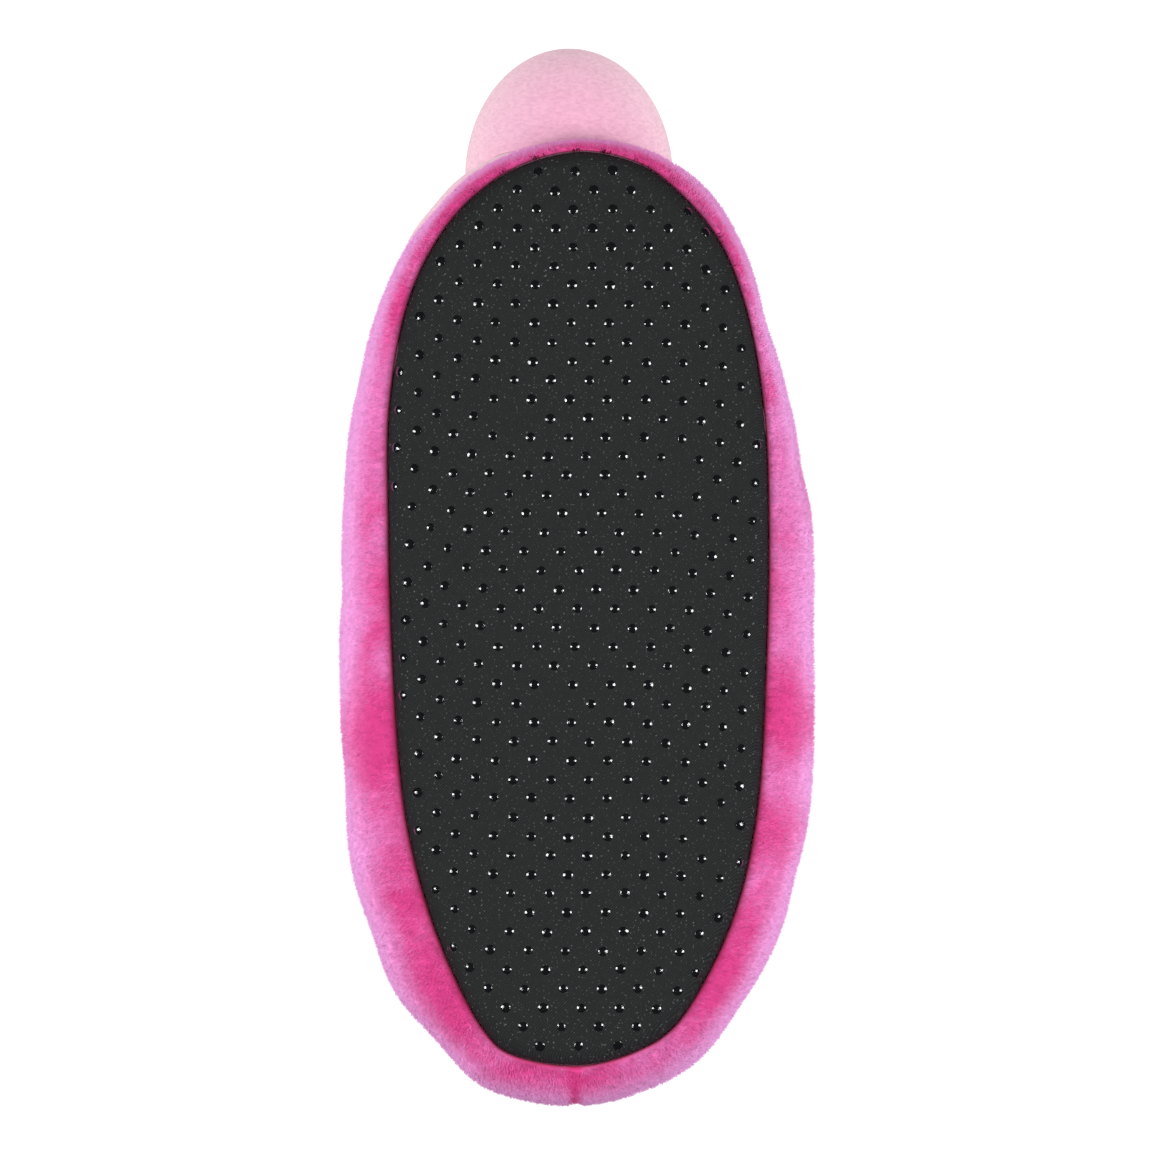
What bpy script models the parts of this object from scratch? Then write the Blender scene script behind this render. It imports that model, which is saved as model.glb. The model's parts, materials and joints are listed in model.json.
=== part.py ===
"""Plush animal slipper, lying on its left side with its sole turned to the front.

The shoe is modelled in its own frame: X from heel to toe, Y to the wearer's left and
Z up from the flat of the sole. One empty then lays all of it on its side. Lengths are
in metres. "right" and "left" are the wearer's.
"""

import math

import bmesh
import bpy
import numpy as np
from mathutils import Matrix, Vector

# Sole and footbed
SOLE_LENGTH = 0.245
BALL_WIDTH = 0.1026
SOLE_THICKNESS = 0.0085
SOLE_EDGE_RADIUS = 0.0045
TOE_TIP_OFFSET = 0.001
TOE_ROLL_LENGTH = 0.045
HEEL_ROLL_LENGTH = 0.022
FOOTBED_THICKNESS = 0.008
FOOTBED_EDGE_RADIUS = 0.0025

# Upper
SIDE_BULGE = 0.0165
BULGE_HEIGHT = 0.021
HEEL_HEIGHT = 0.062
SIDE_HEIGHT = 0.056
INSTEP_HEIGHT = 0.088
COLLAR_BACK = 0.003
COLLAR_LENGTH = 0.127
COLLAR_WIDTH = 0.102
COLLAR_MIDDLE = 0.46
COLLAR_SQUARENESS = 2.3
WALL_LOW = 0.0085
WALL_RIM = 0.0068
SEAM_SHARE = 0.28
SEAM_TUCK = math.radians(24)
SIDE_CURL = math.radians(62)
INSTEP_CURL = math.radians(78)

# Face
PATCH_THICKNESS = 0.0024
PATCH_MIDDLE = -0.013
PATCH_REACH = 0.079
PATCH_LEVEL = 0.50
PATCH_SLOPE = 1.5
PATCH_RISE = 0.17
PATCH_SQUARENESS = 2.5
MUZZLE_LENGTH = 0.0352
MUZZLE_WIDTH = 0.0565
MUZZLE_DEPTH = 0.052
MUZZLE_HEIGHT = 0.044
MUZZLE_OFFSET = -0.0024
MUZZLE_SETBACK = 0.0057
NOSTRIL_WIDTH = 0.0070
NOSTRIL_LENGTH = 0.0105
NOSTRIL_THICKNESS = 0.0016
NOSTRIL_SPREAD = math.radians(21)
NOSTRIL_RISE = math.radians(33)
EYE_DIAMETER = 0.0125
EYE_STAND_OUT = 0.0042

# Ears
EAR_LENGTH = 0.034
EAR_WIDTH = 0.034
EAR_THICKNESS = 0.0080
EAR_TAPER = 0.45
EAR_FOLD = math.radians(104)
EAR_CUP = 0.0030
EAR_ROOT = 0.009
EAR_SPLAY = math.radians(11)
EAR_TILT_BACK = math.radians(26)
LINING_THICKNESS = 0.0014
LINING_MARGIN = 0.0050

# Pose on the floor and clearances
LEAN = math.radians(12)
PRESSED_IN = 0.0024
PRESS_BLEND = 0.0014
GAP = 0.0003
PATCH_GAP = 0.0005
LINING_GAP = 0.00045

# Fineness of the faceted forms
COLUMNS = 76
SEAM_ROWS = 4
WALL_ROWS = 9
RIM_ROWS = 3
EDGE_ROWS = 4
PATCH_COLUMNS = 22
PATCH_ROWS = 5
EAR_SIDES = 14
LINING_ROWS = 6
MUZZLE_FACES = (32, 18)
SMALL_FACES = (16, 8)
EYE_FACES = (16, 10)
UNDERSIDE_RINGS = (0.35, 0.70)
PATCH_END = 0.46 * math.pi
PATCH_ROOM = 0.003
MUZZLE_ROOM = 0.08
SPLINE_STEPS = 40
SLOPE_STEP = 0.003

# How far the underside rolls up at each end, as shares of the sole's thickness
TOE_ROLL = 0.38
HEEL_ROLL = 0.19

# Sections along the foot, a row for each station from heel to toe.
# station: share of the sole's length. sole_right and sole_left: the sole's edge as
# shares of half the ball width. bulge_right and bulge_left: how far the plush
# stands out past that edge, as shares of the side bulge.
SECTIONS = [
    # station, sole_right, sole_left, bulge_right, bulge_left
    (0.000, 0.000, 0.000, 0.72, 0.72),
    (0.015, 0.370, 0.290, 0.75, 0.72),
    (0.040, 0.490, 0.485, 0.80, 0.74),
    (0.100, 0.645, 0.675, 1.05, 0.81),
    (0.180, 0.790, 0.835, 1.12, 0.87),
    (0.280, 0.900, 0.932, 1.06, 0.90),
    (0.440, 0.962, 0.979, 0.94, 0.87),
    (0.600, 0.985, 0.992, 0.79, 0.76),
    (0.720, 0.980, 0.967, 0.64, 0.53),
    (0.830, 0.890, 0.872, 0.48, 0.39),
    (0.900, 0.740, 0.740, 0.42, 0.37),
    (0.950, 0.545, 0.550, 0.36, 0.39),
    (0.985, 0.290, 0.335, 0.29, 0.31),
    (1.000, 0.000, 0.000, 0.25, 0.25),
]

# Outline of an ear, a row for each section from root to tip.
# height: share of the ear's length. width: share of its width.
EAR_SECTIONS = [
    # height, width
    (0.00, 0.88),
    (0.20, 0.96),
    (0.40, 1.00),
    (0.58, 0.96),
    (0.74, 0.84),
    (0.87, 0.64),
    (0.95, 0.42),
    (1.00, 0.18),
]

# Places on the head: share of the outline from the toe tip, share from seam to collar.
EAR_PLACE = (0.068, 0.84)
EYE_PLACE = (0.056, PATCH_LEVEL + 0.235)

COLOURS = {
    # name: red, green, blue, roughness
    "hot_pink_plush": (0.84, 0.09, 0.42, 0.85),
    "light_pink_plush": (0.90, 0.45, 0.58, 0.85),
    "black_twill": (0.022, 0.025, 0.028, 0.80),
    "lining_fleece": (0.88, 0.50, 0.62, 0.90),
    "black_bead": (0.010, 0.010, 0.012, 0.15),
    "dark_pink_thread": (0.45, 0.05, 0.20, 0.60),
}


def spline(rows, count):
    """Closed smooth curve through rows of values; its first two columns are x and y."""
    rows = np.array(rows)
    dense = []
    for index in range(len(rows)):
        p0, p1, p2, p3 = (rows[(index + step) % len(rows)] for step in (-1, 0, 1, 2))
        knots = np.cumsum([0.0] + [np.linalg.norm((b - a)[:2]) ** 0.5
                                   for a, b in ((p0, p1), (p1, p2), (p2, p3))])
        t0, t1, t2, t3 = knots
        for t in np.linspace(t1, t2, count, endpoint=False):
            a1 = (t1 - t) / (t1 - t0) * p0 + (t - t0) / (t1 - t0) * p1
            a2 = (t2 - t) / (t2 - t1) * p1 + (t - t1) / (t2 - t1) * p2
            a3 = (t3 - t) / (t3 - t2) * p2 + (t - t2) / (t3 - t2) * p3
            b1 = (t2 - t) / (t2 - t0) * a1 + (t - t0) / (t2 - t0) * a2
            b2 = (t3 - t) / (t3 - t1) * a2 + (t - t1) / (t3 - t1) * a3
            dense.append((t2 - t) / (t2 - t1) * b1 + (t - t1) / (t2 - t1) * b2)
    return np.array(dense)


def sole_outline():
    """Dense outline of the sole: x, y and bulge, from the toe tip round by the left."""
    half = BALL_WIDTH / 2
    toe = [(SOLE_LENGTH, TOE_TIP_OFFSET, SECTIONS[-1][3] * SIDE_BULGE)]
    heel = [(0.0, 0.0, SECTIONS[0][3] * SIDE_BULGE)]
    right = [(s * SOLE_LENGTH, -r * half, br * SIDE_BULGE)
             for s, r, _, br, _ in SECTIONS[1:-1]]
    left = [(s * SOLE_LENGTH, l * half, bl * SIDE_BULGE)
            for s, _, l, _, bl in reversed(SECTIONS[1:-1])]
    return spline(toe + left + heel + right, SPLINE_STEPS)


EDGE_RADIUS = min(SOLE_EDGE_RADIUS, 0.55 * SOLE_THICKNESS)
OUTLINE = sole_outline()
STEPS = np.linalg.norm(np.diff(OUTLINE[:, :2], axis=0, append=OUTLINE[:1, :2]), axis=1)
PERIMETER = STEPS.sum()
ARC = np.append(0.0, np.cumsum(STEPS)) / PERIMETER
LOOP = np.vstack([OUTLINE, OUTLINE[:1]])


def edge(around):
    """Sole edge x, y and bulge at a share of the outline counted from the toe tip."""
    around = around % 1.0
    return np.array([np.interp(around, ARC, LOOP[:, column]) for column in range(3)])


def edge_normal(around):
    """Outward direction of the sole's outline, in plan."""
    along = edge(around + SLOPE_STEP)[:2] - edge(around - SLOPE_STEP)[:2]
    return np.array([along[1], -along[0]]) / np.hypot(*along)


def roll(x):
    """Height that the underside gains where it rolls up at toe and heel."""
    toe = max(0.0, (x - (SOLE_LENGTH - TOE_ROLL_LENGTH)) / TOE_ROLL_LENGTH)
    heel = max(0.0, (HEEL_ROLL_LENGTH - x) / HEEL_ROLL_LENGTH)
    return TOE_ROLL * SOLE_THICKNESS * toe ** 2 + HEEL_ROLL * SOLE_THICKNESS * heel ** 2


def seam_height(x):
    """Height of the seam between sole and upper, on top of the sole's rounded edge."""
    return EDGE_RADIUS + roll(x)


def collar(around):
    """Outer edge of the collar on the line from the collar's middle to the sole edge."""
    middle = COLLAR_BACK + COLLAR_MIDDLE * COLLAR_LENGTH
    x, y, _ = edge(around)
    angle = math.atan2(y, x - middle)
    front = math.cos(angle) > 0
    reach = COLLAR_BACK + COLLAR_LENGTH - middle if front else middle - COLLAR_BACK
    power = COLLAR_SQUARENESS
    along = (abs(math.cos(angle)) / reach) ** power
    across = (abs(math.sin(angle)) / (COLLAR_WIDTH / 2)) ** power
    radius = (along + across) ** (-1 / power)
    end_height = INSTEP_HEIGHT if front else HEEL_HEIGHT
    height = SIDE_HEIGHT + (end_height - SIDE_HEIGHT) * math.cos(angle) ** 2
    curl = SIDE_CURL + (INSTEP_CURL - SIDE_CURL) * max(0.0, math.cos(angle)) ** 2
    point = (middle + radius * math.cos(angle), radius * math.sin(angle), height)
    return np.array(point), curl


def bulge_foot(around, share, reach, foot_height, tuck):
    """Lower part of the wall: out from the sole edge and up to the widest level."""
    x, y, _ = edge(around)
    turn = -tuck + share * (math.pi / 2 + tuck)
    out = (math.sin(turn) + math.sin(tuck)) / (1 + math.sin(tuck))
    x, y = (x, y) + edge_normal(around) * (GAP + (reach - GAP) * out)
    drop = (BULGE_HEIGHT - foot_height) / math.cos(tuck)
    return np.array([x, y, BULGE_HEIGHT - drop * math.cos(turn)])


def unpressed(around, up):
    """Outer face of the upper, from the seam (up 0) to the collar (up 1)."""
    x, _, bulge = edge(around)
    if up < SEAM_SHARE:
        return bulge_foot(around, up / SEAM_SHARE, bulge, seam_height(x), SEAM_TUCK)
    widest = bulge_foot(around, 1.0, bulge, seam_height(x), SEAM_TUCK)
    top, curl = collar(around)
    turn = (up - SEAM_SHARE) / (1 - SEAM_SHARE) * curl
    inward = (1 - math.cos(turn)) / (1 - math.cos(curl))
    upward = math.sin(turn) / math.sin(curl)
    point = widest + (top - widest) * inward
    point[2] = widest[2] + (top[2] - widest[2]) * upward
    return point


def down_reach(point):
    """Distance of a point towards the floor that the left side lies on."""
    return point[1] * math.cos(LEAN) + point[2] * math.sin(LEAN)


FLOOR_REACH = max(down_reach(unpressed(around, up)) for around in np.linspace(0, 0.5, 101)
                  for up in np.linspace(0, 1, 41)) - PRESSED_IN


def pressed(point):
    """The same point pushed back where the floor flattens the plush, with a soft edge."""
    over = down_reach(point) - FLOOR_REACH
    if over <= -PRESS_BLEND:
        return point
    flattened = 0.0 if over >= PRESS_BLEND else -(over - PRESS_BLEND) ** 2 / (4 * PRESS_BLEND)
    shift = flattened - over
    return point + shift * np.array([0.0, math.cos(LEAN), math.sin(LEAN)])


def outer(around, up):
    """Outer face of the upper as it lies."""
    return pressed(unpressed(around, up))


def face_normal(face, around, up):
    """Outward direction of a face of the upper, from its slopes round and up."""
    low, high = max(0.0, up - SLOPE_STEP), min(1.0, up + SLOPE_STEP)
    along = face(around + SLOPE_STEP, up) - face(around - SLOPE_STEP, up)
    normal = np.cross(along, face(around, high) - face(around, low))
    return normal / np.linalg.norm(normal)


def off_upper(around, up, distance):
    """Point at a distance off the upper's outer face."""
    return outer(around, up) + face_normal(outer, around, up) * distance


def wall(up):
    """Thickness of the padded wall, thinner towards the collar."""
    share = max(0.0, (up - SEAM_SHARE) / (1 - SEAM_SHARE))
    return WALL_LOW + (WALL_RIM - WALL_LOW) * share


def inner(around, up):
    """Inner face of the upper, from the sole's top (up 0) to the collar (up 1)."""
    _, _, bulge = edge(around)
    if up < SEAM_SHARE:
        reach = bulge - WALL_LOW
        return bulge_foot(around, up / SEAM_SHARE, reach, SOLE_THICKNESS + GAP, 0.0)
    normal = face_normal(unpressed, around, up)
    if up < SEAM_SHARE + SLOPE_STEP:
        normal = np.append(edge_normal(around), 0.0)
    return unpressed(around, up) - normal * wall(up)


def rim(around, share):
    """Rounded edge of the collar between the outer face (0) and the inner face (1)."""
    out, back = outer(around, 1.0), inner(around, 1.0)
    middle = (out + back) / 2
    across = (out - back) / 2
    rise = out - outer(around, 1.0 - SLOPE_STEP)
    rise = rise - across * np.dot(rise, across) / np.dot(across, across)
    rise = rise / np.linalg.norm(rise) * np.linalg.norm(across)
    turn = share * math.pi
    return middle + across * math.cos(turn) + rise * math.sin(turn)


def columns():
    """Places round the sole's outline, evenly spaced."""
    return [index / COLUMNS for index in range(COLUMNS)]


def levels():
    """Shares of the way from seam to collar at which the upper has its rings."""
    seam = [SEAM_SHARE * row / SEAM_ROWS for row in range(SEAM_ROWS)]
    return seam + [SEAM_SHARE + (1 - SEAM_SHARE) * row / WALL_ROWS
                   for row in range(WALL_ROWS + 1)]


def loft(name, rings, wrap_rows=False, caps=()):
    """Closed mesh from rings of points that all have one length.

    Rings run along the rows, each ring is a closed loop. wrap_rows joins the last ring
    to the first. caps names the ends that get one flat face: "first", "last".
    """
    mesh = bpy.data.meshes.new(name)
    shape = bmesh.new()
    verts = [[shape.verts.new(point) for point in ring] for ring in rings]
    count = len(rings[0])
    last = len(rings) if wrap_rows else len(rings) - 1
    for row in range(last):
        low, high = verts[row], verts[(row + 1) % len(rings)]
        for index in range(count):
            after = (index + 1) % count
            shape.faces.new((low[index], low[after], high[after], high[index]))
    if "first" in caps:
        shape.faces.new(list(reversed(verts[0])))
    if "last" in caps:
        shape.faces.new(verts[-1])
    bmesh.ops.triangulate(shape, faces=shape.faces[:])
    bmesh.ops.recalc_face_normals(shape, faces=shape.faces[:])
    shape.to_mesh(mesh)
    shape.free()
    return mesh


def material(name):
    """Principled material with the colour and roughness of the table."""
    red, green, blue, roughness = COLOURS[name]
    made = bpy.data.materials.new(name)
    made.use_nodes = True
    surface = made.node_tree.nodes["Principled BSDF"]
    surface.inputs["Base Color"].default_value = (red, green, blue, 1.0)
    surface.inputs["Roughness"].default_value = roughness
    surface.inputs["Metallic"].default_value = 0.0
    made.diffuse_color = (red, green, blue, 1.0)
    return made


def place(mesh, collection, parent, finish):
    """Object for a mesh, in its collection, under the empty that lays the shoe down."""
    thing = bpy.data.objects.new(mesh.name, mesh)
    collection.objects.link(thing)
    thing.parent = parent
    mesh.materials.clear()
    mesh.materials.append(finish)
    mesh.shade_smooth()
    mesh.set_sharp_from_angle(angle=math.radians(40))
    return thing


def outsole_mesh():
    """Foam sole in cloth: rolled-up toe, rounded lower edge, flat top."""
    rings = []
    middle = np.array([SOLE_LENGTH / 2, 0.0])
    for share in UNDERSIDE_RINGS:
        ring = []
        for around in columns():
            flat = edge(around)[:2] - edge_normal(around) * EDGE_RADIUS
            x, y = middle + (flat - middle) * share
            ring.append((x, y, roll(x)))
        rings.append(ring)
    for row in range(EDGE_ROWS + 1):
        turn = row / EDGE_ROWS * math.pi / 2
        ring = []
        for around in columns():
            inset = EDGE_RADIUS * (1 - math.sin(turn))
            x, y = edge(around)[:2] - edge_normal(around) * inset
            ring.append((x, y, roll(x) + EDGE_RADIUS * (1 - math.cos(turn))))
        rings.append(ring)
    rings.append([(*edge(around)[:2], SOLE_THICKNESS) for around in columns()])
    return loft("outsole", rings, caps=("first", "last"))


def inside_edge(around, height):
    """Plan position of the upper's inner face at a height above the sole's top."""
    face = np.array([inner(around, up) for up in levels()])
    return np.array([np.interp(height, face[:, 2], face[:, axis]) for axis in (0, 1)])


def footbed_mesh():
    """Padded insole whose side follows the inside of the upper."""
    bottom = SOLE_THICKNESS + GAP
    radius = min(FOOTBED_EDGE_RADIUS, 0.45 * FOOTBED_THICKNESS)
    side_top = bottom + FOOTBED_THICKNESS - radius
    rings = []
    for height in np.linspace(bottom, side_top, 4):
        ring = []
        for around in columns():
            x, y = inside_edge(around, height) - edge_normal(around) * 2 * GAP
            ring.append((x, y, height))
        rings.append(ring)
    for turn in (math.pi / 4, math.pi / 2):
        ring = []
        for around in columns():
            inset = 2 * GAP + radius * (1 - math.cos(turn))
            x, y = inside_edge(around, side_top) - edge_normal(around) * inset
            ring.append((x, y, side_top + radius * math.sin(turn)))
        rings.append(ring)
    return loft("footbed", rings, caps=("first", "last"))


def upper_mesh():
    """Padded ring: seam, bulge, wall, rounded collar, inner face and inner foot."""
    rings = [[outer(around, up) for around in columns()] for up in levels()]
    for row in range(1, RIM_ROWS + 1):
        rings.append([rim(around, row / (RIM_ROWS + 1)) for around in columns()])
    rings += [[inner(around, up) for around in columns()] for up in reversed(levels())]
    return loft("upper", rings, wrap_rows=True)


def form_mesh(name, distance):
    """Solid of the whole outer form at a distance off the upper, for cutting."""
    rings = [[off_upper(around, up, distance) for around in columns()]
             for up in levels()[1:]]
    return loft(name, rings, caps=("first", "last"))


def patch_mesh(name, inside, outside, grow=0.0, above=0.0):
    """Rounded plush overlay on the toe, between two distances off the upper.

    grow widens it all round and above takes its top edge further up the head.
    """
    sections = []
    power = PATCH_SQUARENESS
    for share in np.sin(np.linspace(-PATCH_END, PATCH_END, PATCH_COLUMNS)):
        around = PATCH_MIDDLE + (PATCH_REACH + grow) * share
        level = PATCH_LEVEL + PATCH_SLOPE * around
        half = (PATCH_RISE + grow) * (1 - abs(share) ** power) ** (1 / power)
        ups = np.linspace(level - half, level + half, PATCH_ROWS + 1)
        if above:
            ups = np.append(ups, level + half + above)
        front = [off_upper(around, up, outside) for up in ups]
        back = [off_upper(around, up, inside) for up in reversed(ups)]
        sections.append(front + back)
    return loft(name, sections, caps=("first", "last"))


def muzzle_frame():
    """Centre and half sizes of the muzzle's ellipsoid."""
    centre = Vector((SOLE_LENGTH - MUZZLE_SETBACK, MUZZLE_OFFSET, MUZZLE_HEIGHT))
    return centre, Vector((MUZZLE_LENGTH, MUZZLE_WIDTH / 2, MUZZLE_DEPTH / 2))


def ellipsoid_mesh(name, centre, halves, faces, turn=None):
    """Primitive sphere, scaled and placed in the shoe's frame."""
    mesh = bpy.data.meshes.new(name)
    shape = bmesh.new()
    bmesh.ops.create_uvsphere(shape, u_segments=faces[0], v_segments=faces[1], radius=1.0)
    size = Matrix.Diagonal((*halves, 1.0))
    turned = turn.to_4x4() if turn else Matrix.Identity(4)
    shape.transform(Matrix.Translation(centre) @ turned @ size)
    bmesh.ops.triangulate(shape, faces=shape.faces[:])
    shape.to_mesh(mesh)
    shape.free()
    return mesh


def cut(thing, cutter):
    """Take a cutter away from an object."""
    step = thing.modifiers.new("cut_" + cutter.name, "BOOLEAN")
    step.operation = "DIFFERENCE"
    step.solver = "EXACT"
    step.object = cutter


def along_normal(direction):
    """Rotation that turns +Z to a direction, with X kept level where it can be."""
    return Vector(direction).to_track_quat("Z", "Y").to_matrix()


def nostril_mesh(name, side):
    """Raised oval of embroidery on the upper front of the muzzle."""
    centre, halves = muzzle_frame()
    heading = Vector((math.cos(NOSTRIL_RISE) * math.cos(NOSTRIL_SPREAD),
                      side * math.cos(NOSTRIL_RISE) * math.sin(NOSTRIL_SPREAD),
                      math.sin(NOSTRIL_RISE)))
    scaled = Vector([heading[axis] / halves[axis] for axis in range(3)])
    on_skin = centre + heading / scaled.length
    normal = Vector([(on_skin - centre)[axis] / halves[axis] ** 2 for axis in range(3)])
    mesh = ellipsoid_mesh(name, Vector(), (NOSTRIL_LENGTH / 2, NOSTRIL_WIDTH / 2,
                                           NOSTRIL_THICKNESS), SMALL_FACES)
    shape = bmesh.new()
    shape.from_mesh(mesh)
    bmesh.ops.bisect_plane(shape, geom=shape.verts[:] + shape.edges[:] + shape.faces[:],
                           dist=1e-6, plane_co=(0, 0, 0), plane_no=(0, 0, 1),
                           clear_inner=True)
    rim_edges = [edge_line for edge_line in shape.edges if edge_line.is_boundary]
    bmesh.ops.contextual_create(shape, geom=rim_edges)
    bmesh.ops.triangulate(shape, faces=shape.faces[:])
    bmesh.ops.recalc_face_normals(shape, faces=shape.faces[:])
    seat = on_skin + normal.normalized() * GAP
    shape.transform(Matrix.Translation(seat) @ along_normal(normal).to_4x4())
    shape.to_mesh(mesh)
    shape.free()
    return mesh


def eye_mesh(name, side):
    """Bead that stands on the head; its back is cut to the upper."""
    around, up = EYE_PLACE
    seat = off_upper(side * around, up, GAP)
    normal = face_normal(outer, side * around, up)
    halves = (EYE_DIAMETER / 2, EYE_DIAMETER / 2, EYE_STAND_OUT)
    return ellipsoid_mesh(name, Vector(seat), halves, EYE_FACES, along_normal(normal))


def ear_frame(side):
    """Seat of an ear and its axes at the root: across, up along the ear and forward."""
    around, up = EAR_PLACE
    seat = outer(side * around, up)
    rise = Vector((-math.sin(EAR_TILT_BACK), side * math.sin(EAR_SPLAY), 1.0)).normalized()
    forward = Vector((1.0, side * math.sin(EAR_SPLAY), 0.0))
    forward = (forward - rise * forward.dot(rise)).normalized()
    return Vector(seat), rise.cross(forward), rise, forward


def ear_point(side, share, height, lift):
    """Point across and up the ear's middle sheet, with a lift towards its front."""
    seat, across, rise, forward = ear_frame(side)
    radius = (EAR_LENGTH + EAR_ROOT) / EAR_FOLD
    turn = height * EAR_FOLD
    width = np.interp(height, *zip(*EAR_SECTIONS)) * EAR_WIDTH / 2
    facing = forward * math.cos(turn) - rise * math.sin(turn)
    point = seat - rise * EAR_ROOT
    point += rise * (radius * math.sin(turn)) + forward * (radius * (1 - math.cos(turn)))
    return point + across * (share * width) + facing * (EAR_CUP * share ** 2 + lift)


def ear_mesh(name, side):
    """Padded leaf, thick in the middle, cupped and folded forward."""
    sections = []
    for height, _ in EAR_SECTIONS:
        thick = EAR_THICKNESS * (1 - EAR_TAPER * height)
        ring = []
        for step in range(EAR_SIDES):
            turn = step * 2 * math.pi / EAR_SIDES
            share = math.cos(turn)
            ring.append(ear_point(side, share, height, thick / 2 * math.sin(turn)))
        sections.append(ring)
    return loft(name, sections, caps=("first", "last"))


def ear_lining_mesh(name, side):
    """Thin plush face laid on the front of the ear."""
    sections = []
    length = EAR_LENGTH + EAR_ROOT
    first = (EAR_ROOT + 2 * LINING_MARGIN) / length
    last = 1 - LINING_MARGIN / length
    for height in np.linspace(first, last, LINING_ROWS + 1):
        half = np.interp(height, *zip(*EAR_SECTIONS)) * EAR_WIDTH / 2
        margin = LINING_MARGIN * (0.6 + 0.6 * (height - first) / (last - first))
        inset = (half - margin) / half
        thick = EAR_THICKNESS * (1 - EAR_TAPER * height)
        front, back = [], []
        for share in np.linspace(-inset, inset, LINING_ROWS + 1):
            skin = thick / 2 * math.sqrt(1 - share ** 2) + LINING_GAP
            front.append(ear_point(side, share, height, skin + LINING_THICKNESS))
            back.append(ear_point(side, share, height, skin))
        sections.append(front + back[::-1])
    return loft(name, sections, caps=("first", "last"))


def lay_down(parent, pieces):
    """Turn the shoe on its left side and stand its lowest point on the origin plane."""
    parent.rotation_euler = (-(math.pi / 2 + LEAN), 0.0, 0.0)
    turn = parent.rotation_euler.to_matrix()
    corners = [turn @ vert.co for piece in pieces for vert in piece.data.vertices]
    low = Vector([min(point[axis] for point in corners) for axis in range(3)])
    high = Vector([max(point[axis] for point in corners) for axis in range(3)])
    parent.location = (-(low.x + high.x) / 2, -(low.y + high.y) / 2, -low.z)


def build():
    """Make every piece, cut what seats on the head, and lay the slipper down."""
    for thing in list(bpy.data.objects):
        bpy.data.objects.remove(thing, do_unlink=True)
    parts = bpy.data.collections.new("animal_slipper")
    cutters = bpy.data.collections.new("cutters")
    bpy.context.scene.collection.children.link(parts)
    bpy.context.scene.collection.children.link(cutters)
    shoe = bpy.data.objects.new("shoe", None)
    parts.objects.link(shoe)
    finish = {name: material(name) for name in COLOURS}

    pieces = [
        place(outsole_mesh(), parts, shoe, finish["black_twill"]),
        place(footbed_mesh(), parts, shoe, finish["lining_fleece"]),
        place(upper_mesh(), parts, shoe, finish["hot_pink_plush"]),
    ]
    patch = patch_mesh("face_patch", PATCH_GAP, PATCH_GAP + PATCH_THICKNESS)
    pieces.append(place(patch, parts, shoe, finish["light_pink_plush"]))

    head = place(form_mesh("head_form", GAP), cutters, shoe, finish["hot_pink_plush"])
    room_top = PATCH_GAP + PATCH_THICKNESS + GAP
    patch_form = place(patch_mesh("patch_room", -PATCH_GAP, room_top, PATCH_ROOM), cutters,
                       shoe, finish["light_pink_plush"])
    muzzle_form = place(patch_mesh("muzzle_room", -PATCH_GAP, room_top, PATCH_ROOM,
                                   MUZZLE_ROOM), cutters, shoe, finish["light_pink_plush"])
    for cutter in (head, patch_form, muzzle_form):
        cutter.hide_render = True
        cutter.display_type = "WIRE"

    centre, halves = muzzle_frame()
    muzzle = place(ellipsoid_mesh("muzzle", centre, halves, MUZZLE_FACES), parts, shoe,
                   finish["light_pink_plush"])
    cut(muzzle, head)
    cut(muzzle, muzzle_form)
    pieces.append(muzzle)
    for side, word in ((1, "left"), (-1, "right")):
        nostril = place(nostril_mesh("nostril_" + word, side), parts, shoe,
                        finish["dark_pink_thread"])
        eye = place(eye_mesh("eye_" + word, side), parts, shoe, finish["black_bead"])
        ear = place(ear_mesh("ear_" + word, side), parts, shoe, finish["hot_pink_plush"])
        lining = place(ear_lining_mesh("ear_lining_" + word, side), parts, shoe,
                       finish["light_pink_plush"])
        cut(eye, head)
        cut(eye, patch_form)
        cut(ear, head)
        pieces += [nostril, eye, ear, lining]
    lay_down(shoe, pieces)


build()
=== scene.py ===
import json
import math

import bmesh
import bpy
import numpy as np
from mathutils import Matrix, Vector, noise


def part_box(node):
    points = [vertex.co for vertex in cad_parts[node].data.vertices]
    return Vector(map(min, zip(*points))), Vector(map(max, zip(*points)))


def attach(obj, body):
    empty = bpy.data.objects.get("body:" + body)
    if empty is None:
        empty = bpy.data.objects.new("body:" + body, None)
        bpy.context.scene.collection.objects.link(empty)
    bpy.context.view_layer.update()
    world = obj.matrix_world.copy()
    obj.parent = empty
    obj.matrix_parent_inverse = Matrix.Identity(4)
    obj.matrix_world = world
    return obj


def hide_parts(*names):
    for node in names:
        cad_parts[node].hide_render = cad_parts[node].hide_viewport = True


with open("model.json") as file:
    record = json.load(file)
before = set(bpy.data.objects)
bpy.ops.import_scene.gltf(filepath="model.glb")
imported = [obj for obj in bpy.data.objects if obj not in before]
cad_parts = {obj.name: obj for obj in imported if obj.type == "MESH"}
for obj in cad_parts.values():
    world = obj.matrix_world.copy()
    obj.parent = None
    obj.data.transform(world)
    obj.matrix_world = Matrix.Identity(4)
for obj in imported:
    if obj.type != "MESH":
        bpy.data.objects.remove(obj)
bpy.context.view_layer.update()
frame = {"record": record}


# Outsole. A foam pad covered in black cotton twill, cut to the last. Its edge is turned
# up and sewn into the plush all round, and it rolls up a little at toe and heel.

SOLE_LENGTH = 0.245
BALL_WIDTH = 0.1026
SOLE_THICKNESS = 0.0085
EDGE_RADIUS = 0.0045
TOE_TIP_OFFSET = 0.001
TOE_ROLL_LENGTH = 0.045
HEEL_ROLL_LENGTH = 0.022
TOE_ROLL = 0.38
HEEL_ROLL = 0.19
SIDE_BULGE = 0.0165
LEAN = math.radians(12)
COLUMNS = 420

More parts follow.
